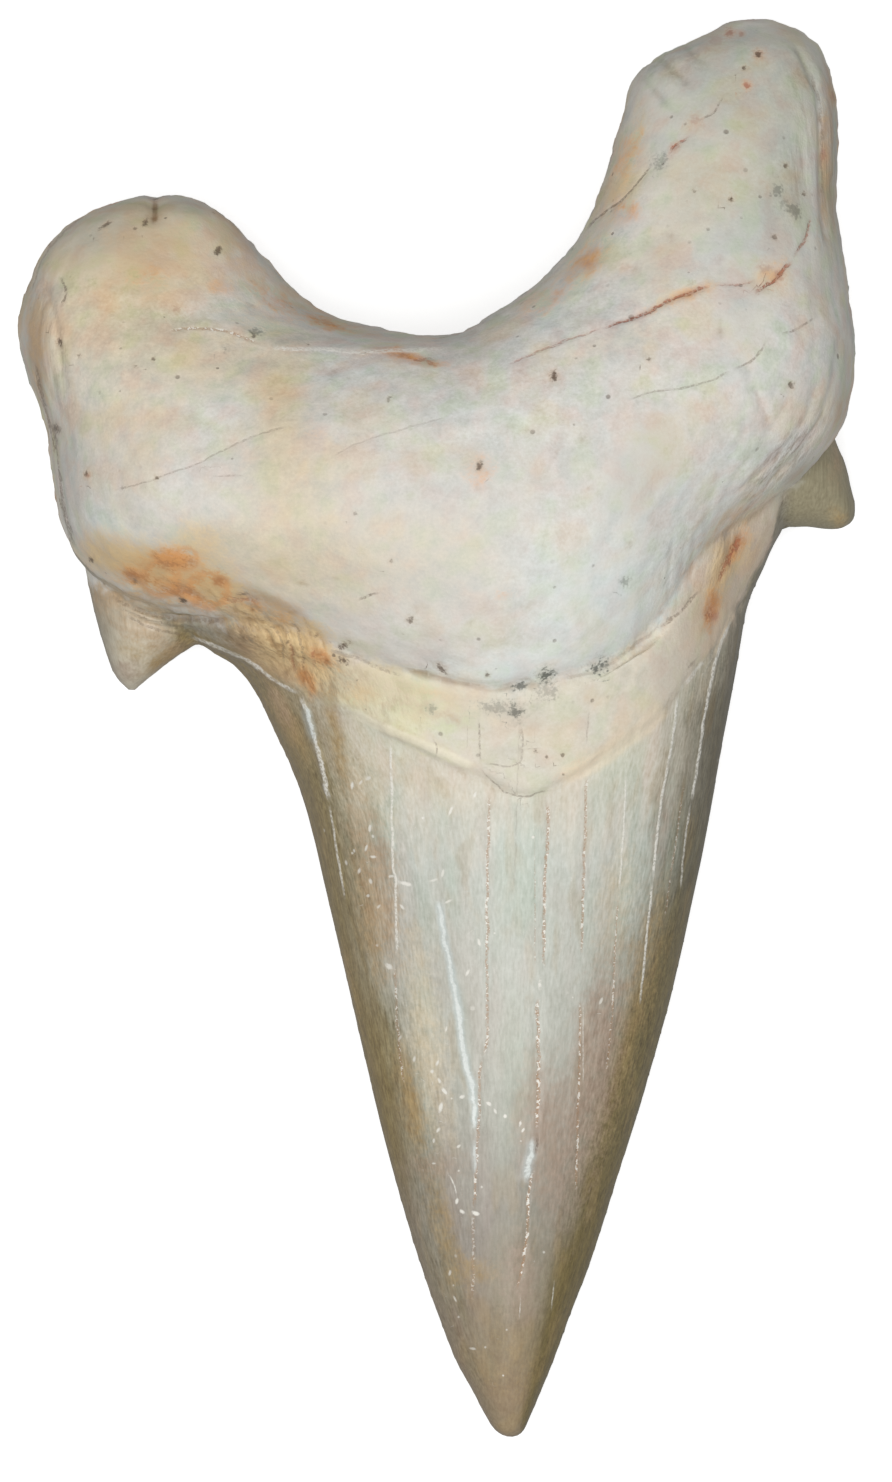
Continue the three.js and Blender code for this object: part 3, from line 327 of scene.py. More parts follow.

# Soft tints on the inner face by pigment, as rows of a Patch's values; the pale one also paints light on some
# slopes.
# Two of them are no pigments: "wrinkle" is where fine folds run, whose grooves also get painted shade, and
# "flecks" is the share of the enamel's grains that are broken out.
PATCHES = {
    "wrinkle": [
        (-9.6, 5.3, 3.6, 1.3, 0.8, -30), (-6.7, 3.2, 1.6, 1.3, 0.8, -50), (-13.4, 6.9, 2.2, 0.6, 0.15, -16),
        (19.6, 15.4, 3.2, 0.9, 0.7, 48), (16.2, 10.0, 3.0, 0.8, 0.6, 62), (22.0, 32.0, 5.0, 0.7, 0.5, 90),
        (13.2, 37.4, 1.8, 1.2, 0.3), (-3.8, 1.9, 3.6, 1.4, 0.45, -20), (13.4, 9.4, 2.6, 1.4, 0.3, 70),
        (20.4, 33.0, 4.0, 0.8, 0.4, 90), (-16.6, 4.6, 2.0, 1.4, 0.5, -60),
        (-21.8, 22.0, 4.0, 0.8, 0.5, -80),
    ],
    "ochre": [
        (-15.6, 9.0, 3.4, 1.5, 0.9, -12), (-12.4, 7.9, 1.5, 1.0, 0.85, -10), (-18.8, 10.2, 1.6, 1.3, 0.5),
        (-10.6, 6.4, 1.8, 0.8, 0.5, -25), (-10.2, 23.1, 2.2, 0.9, 0.3, -14),
        (-7.2, 5.2, 1.3, 1.0, 0.5, -40), (-6.9, 3.8, 1.3, 1.8, 0.7, 20), (-8.8, 4.6, 2.0, 1.4, 0.7, -40),
        (-7.1, 1.6, 1.2, 0.4, 0.6, 85), (-13.2, 10.6, 1.8, 1.0, 0.4, -20), (10.6, 31.6, 2.6, 0.5, 0.35, 75),
        (8.2, 26.2, 1.8, 1.0, 0.35, 45), (13.6, 24.3, 2.0, 0.4, 0.4, 22), (18.6, 25.6, 1.0, 0.7, 0.2, 40),
        (16.0, 9.2, 2.4, 0.7, 0.6, 65), (17.2, 9.9, 1.4, 0.8, 0.4, 60), (-4.3, 1.9, 1.2, 0.8, 0.35),
        (-0.4, 2.1, 1.4, 0.4, 0.3, -10),
    ],
    "rust": [
        (-17.1, 8.7, 0.7, 0.45, 0.75, -10), (-14.7, 9.6, 1.4, 0.6, 0.8, -8),
        (-15.3, 8.5, 2.4, 1.1, 0.35, -15), (-12.1, 8.3, 0.5, 0.35, 0.7), (-13.9, 7.6, 1.2, 0.5, 0.5, -20),
        (-15.0, 7.9, 0.8, 0.4, 0.4), (16.9, 10.4, 1.3, 0.45, 0.6, 62), (15.4, 6.9, 1.3, 0.45, 0.6, 80),
        (-6.5, 4.1, 0.9, 0.5, 0.6, -40), (-7.4, 3.0, 0.7, 0.5, 0.6, -60), (-7.05, 2.0, 0.8, 0.25, 0.6, 85),
        (18.7, 25.6, 1.2, 0.4, 0.3, 40), (13.6, 24.2, 2.2, 0.4, 0.35, 22), (10.7, 32.4, 1.7, 0.6, 0.35, 70),
        (10.7, 29.2, 0.8, 0.6, 0.4), (8.5, 26.4, 1.3, 0.8, 0.35, 40), (6.2, 24.1, 1.6, 0.7, 0.3, 30),
        (-9.6, 6.7, 1.8, 0.45, 0.25, -24), (-1.3, 20.8, 1.9, 0.3, 0.55, -14), (-2.6, 21.3, 0.8, 0.3, 0.5),
        (-6.3, 22.9, 1.6, 0.4, 0.5, -16), (-9.2, 24.2, 1.6, 0.6, 0.3, -40), (-16.3, 25.3, 1.2, 0.9, 0.3),
        (-12.2, 24.9, 0.7, 0.5, 0.25), (2.4, 14.5, 1.0, 0.9, 0.3), (3.8, 7.6, 0.7, 0.5, 0.2),
        (8.2, -2.2, 2.0, 0.9, 0.2, 30), (-7.0, 16.5, 0.8, 0.5, 0.15),
    ],
    "umber": [
        (-15.6, 7.1, 3.6, 0.5, 0.35, -16), (-10.6, 6.4, 1.8, 0.7, 0.6, -25),
        (-3.8, -8.5, 5.5, 1.0, 0.45, -80), (-2.6, -9.6, 3.6, 0.9, 0.3, -84),
        (-8.8, 1.4, 1.5, 0.5, 0.6, -62), (-16.6, 5.5, 2.4, 0.8, 0.5, -24),
        (-19.0, 7.4, 1.1, 0.8, 0.45, -30), (-8.9, 7.0, 2.4, 0.45, 0.5, -28),
        (-16.4, 27.6, 4.2, 2.2, 0.42, 8), (-22.2, 23.0, 3.0, 0.6, 0.35, 85),
        (-11.2, 7.4, 1.4, 0.5, 0.25, -20), (-17.2, 7.0, 2.2, 0.6, 0.4, -24),
        (-5.6, 2.9, 1.4, 0.9, 0.3, -40), (-9.4, 6.6, 2.8, 0.9, 0.45, -26), (-8.4, 4.6, 1.6, 1.6, 0.2, -40),
        (-12.4, 6.6, 2.6, 0.6, 0.15, -12), (-11.2, 26.6, 2.2, 1.2, 0.35, -58),
        (-8.7, 24.8, 2.0, 0.8, 0.3, -42), (-5.6, 22.9, 2.8, 0.6, 0.4, -20),
        (-1.5, 22.1, 2.4, 0.35, 0.2, -6), (-22.6, 21.0, 4.0, 0.6, 0.6, -85),
        (-20.9, 16.0, 3.0, 0.6, 0.2, -78), (23.0, 17.0, 3.0, 0.8, 0.5, 80), (10.2, 30.0, 3.6, 0.7, 0.2, 68),
        (6.5, 24.6, 3.0, 0.7, 0.1, 35), (16.2, 11.6, 3.2, 0.7, 0.25, 48), (15.8, 7.4, 2.6, 0.9, 0.45, 68),
        (21.8, 32.0, 5.0, 0.5, 0.5, 88),
    ],
    "tan": [
        (-17.5, 24.5, 5.5, 5.5, 0.85), (-14.0, 28.0, 3.5, 2.0, 0.5, -20), (-8.7, 18.8, 4.2, 1.7, 0.7, 85),
        (-18.0, 11.5, 3.4, 1.6, 0.3, -60), (-12.0, 20.5, 3.0, 1.6, 0.5), (10.3, 31.0, 4.2, 1.3, 0.55, 70),
        (15.9, 31.0, 3.6, 2.6, 0.6), (12.8, 26.6, 3.4, 2.0, 0.4, 55), (11.0, 22.0, 5.0, 1.0, 0.3, 15),
        (-17.0, 17.0, 3.5, 3.0, 0.35), (-1.0, 9.6, 5.0, 3.0, 0.32), (-3.4, 2.8, 3.6, 1.2, 0.55, -18),
        (-0.6, -17.5, 6.5, 1.2, 0.5, -82), (-4.2, -3.4, 4.0, 1.6, 0.45, -75),
        (10.1, -9.6, 4.5, 1.2, 0.35, 82), (-0.6, -3.0, 3.0, 1.0, 0.3, -30), (1.0, 1.6, 3.4, 1.0, 0.25, -15),
        (15.0, 2.5, 2.2, 0.8, 0.3, 60), (-12.8, 10.6, 2.8, 1.6, 0.45), (-8.2, 9.4, 4.2, 3.6, 0.6),
        (-8.0, 14.4, 3.4, 2.6, 0.5),
    ],
    # Pale stretches of the root; several also paint light on slopes the lamp leaves darker: the foot, the
    # notch's rim, the left rim, the right lobe.
    "cool": [
        (-17.6, 10.7, 2.6, 1.0, 0.7, -25), (-10.2, 23.2, 2.6, 1.0, 0.6, -14),
        (-14.6, 8.2, 3.0, 1.2, 0.5, -14), (-18.9, 12.8, 2.2, 1.0, 0.4, 80), (6.8, 23.3, 3.0, 0.9, 0.45, 28),
        (-4.2, 20.4, 2.2, 0.7, 0.5, -5), (13.8, 37.6, 1.4, 1.0, 0.35), (14.0, 10.6, 1.2, 0.9, 0.5),
        (8.8, 7.6, 4.6, 4.2, 0.85), (4.0, 17.5, 4.5, 3.0, 0.3), (12.5, 12.5, 4.0, 2.6, 0.3, 50),
        (12.0, 6.8, 3.8, 1.8, 0.85, 45), (15.6, 13.4, 3.4, 1.8, 0.5, 45), (5.0, 3.6, 4.6, 1.1, 0.95, 5),
        (-5.5, 19.6, 2.4, 1.2, 0.3), (-13.0, 17.0, 2.4, 1.4, 0.25), (-13.0, 23.2, 1.6, 0.8, 0.3),
    ],
    "slate": [
        (-12.9, 5.4, 1.6, 0.6, 0.4, -22), (17.2, 36.8, 5.5, 3.2, 0.6), (13.2, 37.1, 1.4, 0.22, 0.5, -45),
        (14.5, 37.9, 1.3, 0.2, 0.5, -45), (12.3, 35.8, 1.2, 0.2, 0.4, -50),
        (20.4, 37.4, 1.8, 1.2, 0.4, -60), (14.6, 33.0, 3.6, 3.0, 0.35), (19.6, 31.0, 5.0, 1.8, 0.6, 90),
        (14.0, 28.6, 4.0, 2.6, 0.25, 60), (17.4, 28.0, 7.5, 2.0, 0.35, 84), (11.4, 14.6, 3.4, 1.8, 0.3, 60),
        (20.6, 13.6, 2.0, 1.4, 0.75, 60), (-18.6, 28.0, 4.0, 1.4, 0.5, 28),
        (22.4, 32.0, 5.5, 0.8, 0.55, 90), (21.6, 26.0, 3.0, 1.0, 0.3, 80), (-14.0, 29.4, 2.0, 0.8, 0.3),
        (22.6, 20.0, 3.0, 0.8, 0.4, 85), (-17.4, 6.6, 1.6, 0.4, 0.5, -25), (19.3, 29.9, 1.0, 0.7, 0.3, -40),
        (3.8, 1.1, 1.2, 0.35, 0.25),
    ],
    "gold": [
        (-15.3, 4.1, 1.7, 0.5, 0.7, 38), (22.7, 11.9, 0.9, 0.5, 0.5, -60), (-5.7, -0.4, 3.2, 0.5, 0.6, -80),
        (-8.5, 0.6, 2.6, 0.6, 0.7, -62), (-3.9, -10.7, 3.6, 0.8, 0.5, -82),
        (-5.0, -14.5, 3.0, 0.5, 0.4, -80), (-3.0, 1.8, 2.8, 0.8, 0.15, -20),
        (-1.5, -21.0, 3.2, 0.7, 0.6, -78), (0.6, 0.8, 1.6, 0.6, 0.25, -20),
        (11.8, -13.0, 5.0, 1.0, 0.35, 80), (9.6, -20.0, 5.0, 1.2, 0.35, 78),
        (0.4, -28.0, 4.0, 0.8, 0.4, -74), (4.0, -35.5, 3.0, 2.2, 0.2, -80), (2.2, -30.5, 1.5, 0.8, 0.4),
        (-17.0, 4.6, 1.4, 0.8, 0.4), (-2.4, 0.0, 1.8, 0.4, 0.35, -25),
    ],
    "flecks": [
        (-4.3, -5.0, 3.4, 1.3, 0.75, -80), (-3.2, -10.5, 3.6, 1.2, 0.6, -80),
        (0.3, -20.0, 4.5, 1.2, 0.5, -75), (1.0, -26.0, 3.0, 1.0, 0.45), (1.6, -32.5, 3.0, 1.0, 0.5, -70),
        (4.0, -8.0, 8.0, 6.0, 0.1), (5.0, -22.5, 2.0, 1.0, 0.35),
    ],
    "lilac": [
        (6.0, -23.0, 5.0, 1.6, 0.6, -85), (4.6, -31.0, 3.0, 1.3, 0.5, -85), (8.8, -18.8, 7.5, 1.4, 0.7, 81),
        (-3.2, -7.4, 2.6, 0.8, 0.45, -80), (0.0, -24.5, 2.2, 0.9, 0.4), (12.6, -5.0, 4.0, 0.7, 0.35, 80),
        (-17.6, 3.4, 1.0, 0.7, 0.5),
    ],
}
PATCHES = {name: [Patch(*row) for row in rows] for name, rows in PATCHES.items()}


# ---- Form: the fine surface that stands for the solid ----

def smooth_path(points, step):
    """Points about that far apart along a smooth curve through the given ones."""
    given = np.array(points, float)
    padded = np.vstack([2 * given[0] - given[1], given, 2 * given[-1] - given[-2]])
    found = []
    for a, b, c, d in zip(padded, padded[1:], padded[2:], padded[3:]):
        count = max(1, math.ceil(np.linalg.norm(c - b) / step))
        t = np.arange(count)[:, None] / count
        found.append(b + (c - a) / 2 * t + (2 * a - 5 * b + 4 * c - d) / 2 * t**2
                     + (3 * b - a - 3 * c + d) / 2 * t**3)
    return np.vstack([*found, given[-1:]])


def beside(plan, path):
    """How far each plan point lies to the left of a path, below zero on its right, and its share along it."""
    best = np.full(len(plan), np.inf)
    side = np.zeros(len(plan))
    share = np.zeros(len(plan))
    lengths = np.linalg.norm(np.diff(path, axis=0), axis=1)
    starts = np.concatenate([[0], np.cumsum(lengths)])
    for start, length, a, b in zip(starts, lengths, path, path[1:]):
        along = (b - a) / length
        reach = np.clip((plan - a) @ along, 0, length)
        off = plan - a - reach[:, None] * along
        away = np.hypot(off[:, 0], off[:, 1])
        nearer = away < best
        best = np.where(nearer, away, best)
        turn = np.sign(along[0] * off[:, 1] - along[1] * off[:, 0])
        side = np.where(nearer, turn * away, side)
        share = np.where(nearer, (start + reach) / starts[-1], share)
    return side, share


def ease(value, low, high):
    """0 below low, 1 above high, and a smooth rise between them."""
    t = np.clip((value - low) / (high - low), 0, 1)
    return t * t * (3 - 2 * t)


def cloud(points, size, seed, octaves=3):
    """Smooth noise between about -1 and 1, with lumps of that size in millimetres."""
    shift = Vector((17.3, 5.1, 9.7)) * seed
    places = [Vector(point) / size + shift for point in points.tolist()]
    return np.array([1.6 * noise.fractal(place, 1.0, 2.0, octaves) for place in places])


class Skin:
    """The tooth's surface as arrays in millimetres: points, normals and the edges between the points."""

    def __init__(self, mesh):
        self.mesh = mesh
        self.points = np.zeros(3 * len(mesh.vertices))
        mesh.vertices.foreach_get("co", self.points)
        self.points = self.points.reshape(-1, 3)
        ends = np.zeros(2 * len(mesh.edges), np.int32)
        mesh.edges.foreach_get("vertices", ends)
        self.one, self.other = ends.reshape(-1, 2).T
        self.count = np.bincount(np.concatenate([self.one, self.other]), minlength=len(self.points))
        self.refresh()

    def refresh(self):
        """Writes the points to the mesh and reads the normals that they give."""
        self.mesh.vertices.foreach_set("co", self.points.astype(np.float32).ravel())
        self.mesh.update()
        normals = np.zeros(3 * len(self.points), np.float32)
        self.mesh.vertex_normals.foreach_get("vector", normals)
        self.normals = normals.reshape(-1, 3).astype(float)

    def mean_of_neighbours(self, values):
        """The mean of the values at the points next to each point."""
        size = len(self.points)
        total = np.bincount(self.one, values[self.other], size)
        total = total + np.bincount(self.other, values[self.one], size)
        return total / self.count

    def blur(self, values, rounds):
        """The values spread a little further over the surface with each round."""
        for _ in range(rounds):
            values = (values + self.mean_of_neighbours(values)) / 2
        return values

    def relax(self, share, rounds):
        """Evens the surface out where share is near 1, without shrinking it."""
        for _ in range(rounds):
            for pull in (0.5, -0.52):
                mean = np.column_stack([self.mean_of_neighbours(axis) for axis in self.points.T])
                self.points = self.points + pull * share[:, None] * (mean - self.points)


def solid_in_mm(source):
    """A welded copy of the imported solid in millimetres, as a mesh and as a bmesh with its normals."""
    mesh = source.data.copy()
    mesh.transform(Matrix.Scale(1 / MM, 4))
    form = bmesh.new()
    form.from_mesh(mesh)
    bmesh.ops.remove_doubles(form, verts=form.verts, dist=0.001)
    form.normal_update()
    form.to_mesh(mesh)
    return mesh, form


def fine_mesh(mesh, cell):
    """The same closed surface in small even faces."""
    coarse = bpy.data.objects.new("coarse_tooth", mesh)
    bpy.context.scene.collection.objects.link(coarse)
    remesh = coarse.modifiers.new("even_faces", "REMESH")
    remesh.mode = "VOXEL"
    remesh.voxel_size = cell
    depsgraph = bpy.context.evaluated_depsgraph_get()
    fine = bpy.data.meshes.new_from_object(coarse.evaluated_get(depsgraph))
    bpy.data.objects.remove(coarse)
    return fine


def corner_normals(form):
    """The normal at each corner of each face, shared between faces that meet without a sharp edge."""
    limit = math.cos(SHARP)
    found = {}
    for face in form.faces:
        for vert in face.verts:
            total = Vector()
            for loop in vert.link_loops:
                if loop.face.normal.dot(face.normal) > limit:
                    total += loop.face.normal * loop.calc_angle()
            found[face.index, vert.index] = total.normalized()
    return found


def round_facets(points, form):
    """The points moved most of the way from the flat facets to the curved surface that these stand for."""
    form.faces.ensure_lookup_table()
    tree = BVHTree.FromBMesh(form)
    corners = corner_normals(form)
    fullness = 0.75
    rounded = np.empty_like(points)
    for row, point in enumerate(points.tolist()):
        foot, _, index, _ = tree.find_nearest(Vector(point))
        face = form.faces[index]
        a, b, c = (vert.co for vert in face.verts)
        whole = (b - a).cross(c - a)
        size = whole.length_squared
        if size < 1e-12:
            rounded[row] = foot
            continue
        share_b = (foot - a).cross(c - a).dot(whole) / size
        share_c = (b - a).cross(foot - a).dot(whole) / size
        curved = Vector()
        for vert, share in zip(face.verts, (1 - share_b - share_c, share_b, share_c)):
            normal = corners[index, vert.index]
            curved += share * (foot - (foot - vert.co).dot(normal) * normal)
        rounded[row] = foot.lerp(curved, fullness)
    return rounded


def shape_neck(skin):
    """Draws the root's swelling down over the neck to its own border, and evens out the enamel's border."""
    x, y = skin.points[:, :2].T
    far = np.interp(x, *np.array(FOOT_SHIFT).T)
    off = y - far - np.interp(x, *smooth_path(ROOT_BORDER, 0.5).T)
    share = ease(off, -2.6, -0.3) * ease(off, 5.5, 1.0) * ease(skin.normals[:, 2], 0.0, 0.3)
    skin.points += (far * share)[:, None] * (0.0, -1.0, -0.35)
    past = beside(skin.points[:, :2], smooth_path(ENAMEL_BORDER, 0.5))[0]
    inner = ease(skin.normals[:, 2], 0.2, 0.5) * ease(x, -13.0, -10.0) * ease(x, 16.0, 13.0)
    skin.relax(inner * ease(np.abs(past), 2.0, 0.5), 14)
    skin.refresh()


def distance_to_sharp(points, form):
    """How far each point is from the nearest sharp outward edge of the solid."""
    samples = []
    for edge in form.edges:
        if edge.is_manifold and edge.calc_face_angle_signed() > SHARP:
            a, b = (vert.co for vert in edge.verts)
            steps = max(1, math.ceil((b - a).length / 0.3))
            samples += [a.lerp(b, (i + 0.5) / steps) for i in range(steps)]
    tree = KDTree(len(samples))
    for i, sample in enumerate(samples):
        tree.insert(sample, i)
    tree.balance()
    return np.array([tree.find(p)[2] for p in points.tolist()])


def close_by(points, path, reach):
    """The rows of the points that could lie within reach of a path in plan."""
    path = np.array(path, float)
    low = path.min(0) - reach
    high = path.max(0) + reach
    return np.flatnonzero(((points[:, :2] > low) & (points[:, :2] < high)).all(1))


def divide_near(mesh, paths):
    """Splits the upward faces near the given paths once, so that fine form there has room."""
    form = bmesh.new()
    form.from_mesh(mesh)
    form.normal_update()
    points = np.array([vert.co for vert in form.verts])
    upward = np.array([vert.normal.z for vert in form.verts]) > 0
    near = np.zeros(len(points), bool)
    for path in paths:
        rows = close_by(points, path, FINE_REACH)
        rows = rows[upward[rows]]
        side, _ = beside(points[rows, :2], np.array(path, float))
        near[rows[np.abs(side) < FINE_REACH]] = True
    edges = [edge for edge in form.edges if near[edge.verts[0].index] and near[edge.verts[1].index]]
    bmesh.ops.subdivide_edges(form, edges=edges, cuts=1, use_grid_fill=True)
    form.to_mesh(mesh)
    form.free()


def near_line(skin, faces_up, line, step, reach, fade):
    """The rows of the upward points near a line, how far beside it each lies, and a fade at both its ends."""
    path = smooth_path(line.points, step)
    rows = close_by(skin.points, path, reach)
    rows = rows[faces_up[rows]]
    side, share = beside(skin.points[rows, :2], path)
    length = np.linalg.norm(np.diff(path, axis=0), axis=1).sum()
    return rows, side, ease(np.minimum(share, 1 - share) * length, 0, fade)


# ---- Zones and relief ----

Zones = namedtuple("Zones", "up root enamel across")


def zones_of(skin):
    """Where each point lies: on the inner face, how far past the root's border, how far into the enamel, and
    across the blade from -1 at its left edge to 1 at its right edge."""
    plan = skin.points[:, :2]
    up = skin.blur(ease(skin.normals[:, 2], -0.15, 0.25), 6)
    outer = -beside(plan, smooth_path(OUTER_BORDER, 1.0))[0]
    root = outer + up * (-beside(plan, smooth_path(ROOT_BORDER, 0.6))[0] - outer)
    enamel = outer + up * (-beside(plan, smooth_path(ENAMEL_BORDER, 0.5))[0] - outer)
    overhang = up * ease(plan[:, 0], 18.8, 19.6) * ease(plan[:, 1], 18.0, 17.0)
    under_root = 1.5 * (CUSPLET_TOP - skin.points[:, 2])
    root += overhang * (under_root - root)
    enamel += overhang * (under_root - enamel)
    # the blade's two edges row by row, which above it spread on in straight lines
    rows = np.arange(-39.0, 2.0)
    above = np.arange(2.0, 30.0)
    blade = [plan[np.abs(plan[:, 1] - y) < 0.6, 0] for y in rows]
    edges = []
    for pick, spread in ((np.min, -0.75), (np.max, 0.45)):
        edge = [pick(x) for x in blade]
        edge = np.concatenate([edge, edge[-1] + spread * (above - rows[-1])])
        edges.append(np.interp(plan[:, 1], np.concatenate([rows, above]), edge))
    left, right = edges
    across = np.clip(2 * (plan[:, 0] - left) / (right - left) - 1, -1.6, 1.6)
    return Zones(up, root, enamel, across)


def dents(skin, faces_up, lines):
    """How far each point moves out for the lines cut in it or standing proud of it."""
    moved = np.zeros(len(skin.points))
    for line in lines:
        width = max(line.width, NARROWEST_CUT)
        rows, side, fade = near_line(skin, faces_up, line, 0.3, 4 * width, 1.0)
        moved[rows] -= line.cut * fade * np.exp(-((side / width) ** 2))
    return moved


def in_spot(plan, spot):
    """Plan points in a spot's own turned frame, in its radii."""
    turn = math.radians(spot.turn)
    off = plan - (spot.x, spot.y)
    along = (off[:, 0] * math.cos(turn) + off[:, 1] * math.sin(turn)) / (spot.radius * spot.stretch)
    over = (off[:, 1] * math.cos(turn) - off[:, 0] * math.sin(turn)) / spot.radius
    return np.column_stack([along, over])


def spot_reach(spot):
    """How far from a spot's centre its mark is written."""
    return spot.radius * spot.stretch + SPOT_MARGIN


def spread_out(spots):
    """The spots in as few sets as keep those of one set clear of each other."""
    sets = []
    for spot in spots:
        for held in sets:
            gaps = [math.hypot(spot.x - o.x, spot.y - o.y) - spot_reach(spot) - spot_reach(o) for o in held]
            if min(gaps) > 0:
                held.append(spot)
                break
        else:
            sets.append([spot])
    return sets


def raise_relief(skin, zones, sizes):
    """Gives the surface the lumps, folds, creases and pits that the solid leaves out."""
    points = skin.points
    up = zones.up
    past = zones.enamel
    on_root = ease(past, 0.1, -0.5)
    lumps = 0.12 * cloud(points, 7.0, 1) + 0.05 * cloud(points, 2.4, 2) + 0.022 * cloud(points, 0.9, 3, 2)
    facing = 0.35 + 0.65 * ease(np.abs(skin.normals[:, 2]), 0.1, 0.7)
    height = sizes.root_lumps / ROOT_LUMPS * lumps * facing * on_root * ease(past, 0.0, -2.5)
    # long faint waves down the blade
    height += 0.03 * cloud(points * (1.0, 0.22, 1.0), 2.2, 4) * (1 - on_root)
    # the groove where the root's edge meets the neck
    height -= up * 0.03 * np.exp(-((zones.root / 0.3) ** 2))
    # the step down from the neck to the enamel
    height += up * 0.02 * ease(past, 0.6, -0.6) * ease(past, -2.6, -0.8) * ease(points[:, 0], 4.0, 1.5)
    height += up * 0.025 * cloud(points, 0.7, 5, 2) * np.exp(-((past / 0.6) ** 2))
    # fine wrinkles where the root ends at the lower left
    wrinkles = cloud(points * (1.0, 0.25, 0.4), 0.55, 6, 2)
    lower_left = ease(points[:, 0], -4.5, -7.5)
    height += up * 0.05 * wrinkles * ease(zones.root, -3.2, -1.2) * ease(zones.root, 0.3, -0.3) * lower_left
    # the outer face: a rough root edge that stands a step above the enamel, and long soft folds below it
    down = 1 - up
    folds = cloud(points * (1.0, 0.12, 1.0), 1.5, 8, 2)
    height += down * 0.10 * ease(past, 0.3, -0.4)
    height += down * 0.09 * cloud(points, 0.9, 7, 3) * on_root
    height += down * 0.16 * folds * ease(past, 0.2, 1.2) * ease(past, 9.0, 2.0)
    faces_up = skin.normals[:, 2] > 0
    height += dents(skin, faces_up, SHAPED_LINES)
    for spot in SPOTS["pit"]:
        rows = close_by(points, [(spot.x, spot.y)], spot_reach(spot))
        rows = rows[faces_up[rows]]
        off = in_spot(points[rows, :2], spot)
        height[rows] -= 0.35 * spot.radius * spot.strength * np.exp(-1.4 * (off**2).sum(1))
    skin.points = points + height[:, None] * skin.normals
    # nothing goes through the floor that the tooth lies on
    skin.points[:, 2] = np.maximum(skin.points[:, 2], 0.0)
    skin.refresh()


def hollows(skin, rounds):
    """How far each point lies below its smoothed surroundings, in millimetres."""
    smooth = np.column_stack([skin.blur(axis, rounds) for axis in skin.points.T])
    return ((smooth - skin.points) * skin.normals).sum(1)


# ---- Marks carried by the surface's points ----

def line_marks(skin, faces_up, lines):
    """For the nearest line of one finish: signed distance in its half widths, and strength."""
    size = len(skin.points)
    nearest = np.full(size, np.inf)
    sides = np.full(size, 6.0)
    strengths = np.zeros(size)
    for line in lines:
        rows, side, fade = near_line(skin, faces_up, line, 0.25, LINE_REACH, 0.7)
        fade = fade * ease(np.abs(side), 0.65, 0.4)
        nearer = np.abs(side) < nearest[rows]
        rows = rows[nearer]
        nearest[rows] = np.abs(side[nearer])
        sides[rows] = np.clip(side[nearer] / line.width, -8, 8)
        strengths[rows] = (fade * line.strength)[nearer]
    return sides, strengths


def spot_marks(skin, faces_up, spots):
    """For the nearest spot of a set: the place in its radii, and its strength as the third number."""
    marks = np.zeros((len(skin.points), 3))
    marks[:, :2] = 9.0
    for spot in spots:
        rows = close_by(skin.points, [(spot.x, spot.y)], spot_reach(spot))
        rows = rows[faces_up[rows]]
        plan = skin.points[rows, :2]
        away = np.hypot(*(plan - (spot.x, spot.y)).T)
        inside = away < spot_reach(spot)
        rows = rows[inside]
        fade = ease(away[inside], spot_reach(spot), spot_reach(spot) - 0.3)
        marks[rows] = np.column_stack([in_spot(plan[inside], spot), fade * spot.strength])
    return marks


def patch_marks(skin, up, patches):
    """The strength of one pigment's patches on the inner face."""
    plan = skin.points[:, :2]
    clear = np.ones(len(plan))
    for patch in patches:
        off = in_spot(plan, Spot(patch.x, patch.y, patch.wide, 1.0, patch.long / patch.wide, patch.turn))
        clear *= 1 - patch.strength * np.exp(-((off**2).sum(1)) ** 1.3)
    return up * (1 - clear)


def outer_tints(skin, zones):
    """The pigments of the outer face, laid by chance in the same colours as the inner face."""
    # all at one height, so that the tints run straight up and down past the edges
    points = skin.points * (1.0, 1.0, 0.0) + (0.0, 0.0, 40.0)
    down = 1 - zones.up
    root = ease(zones.enamel, 0.2, -0.2)
    seam = np.exp(-(((zones.enamel + 0.8) / 1.6) ** 2))
    return {
        "rust": down * (0.75 * seam * ease(cloud(points, 5.0, 21), 0.15, 0.7)
                        + 0.4 * root * ease(cloud(points, 6.0, 22), 0.45, 0.9)),
        "umber": down * (0.6 * seam * ease(cloud(points, 4.0, 23), 0.0, 0.6)
                         + 0.45 * root * ease(cloud(points, 8.0, 24), 0.3, 0.9)),
        "tan": down * 0.8 * root * ease(cloud(points, 12.0, 25), -0.3, 0.5),
        "cool": down * 0.7 * ease(cloud(points, 11.0, 26), 0.0, 0.6),
        "slate": down * 0.5 * ease(cloud(points, 9.0, 27), 0.3, 0.9),
        "gold": down * 0.5 * (1 - root) * ease(cloud(points * (1, 0.4, 1), 5.0, 28), 0.1, 0.7),
        "lilac": down * 0.4 * (1 - root) * ease(cloud(points * (1, 0.4, 1), 7.0, 29), 0.2, 0.8),
    }


def write_marks(mesh, name, values):
    """Keeps numbers or vectors on the mesh's points for the material to read."""
    kind, key = ("FLOAT_VECTOR", "vector") if values.ndim == 2 else ("FLOAT", "value")
    mark = mesh.attributes.new(name, kind, "POINT")
    mark.data.foreach_set(key, values.astype(np.float32).ravel())


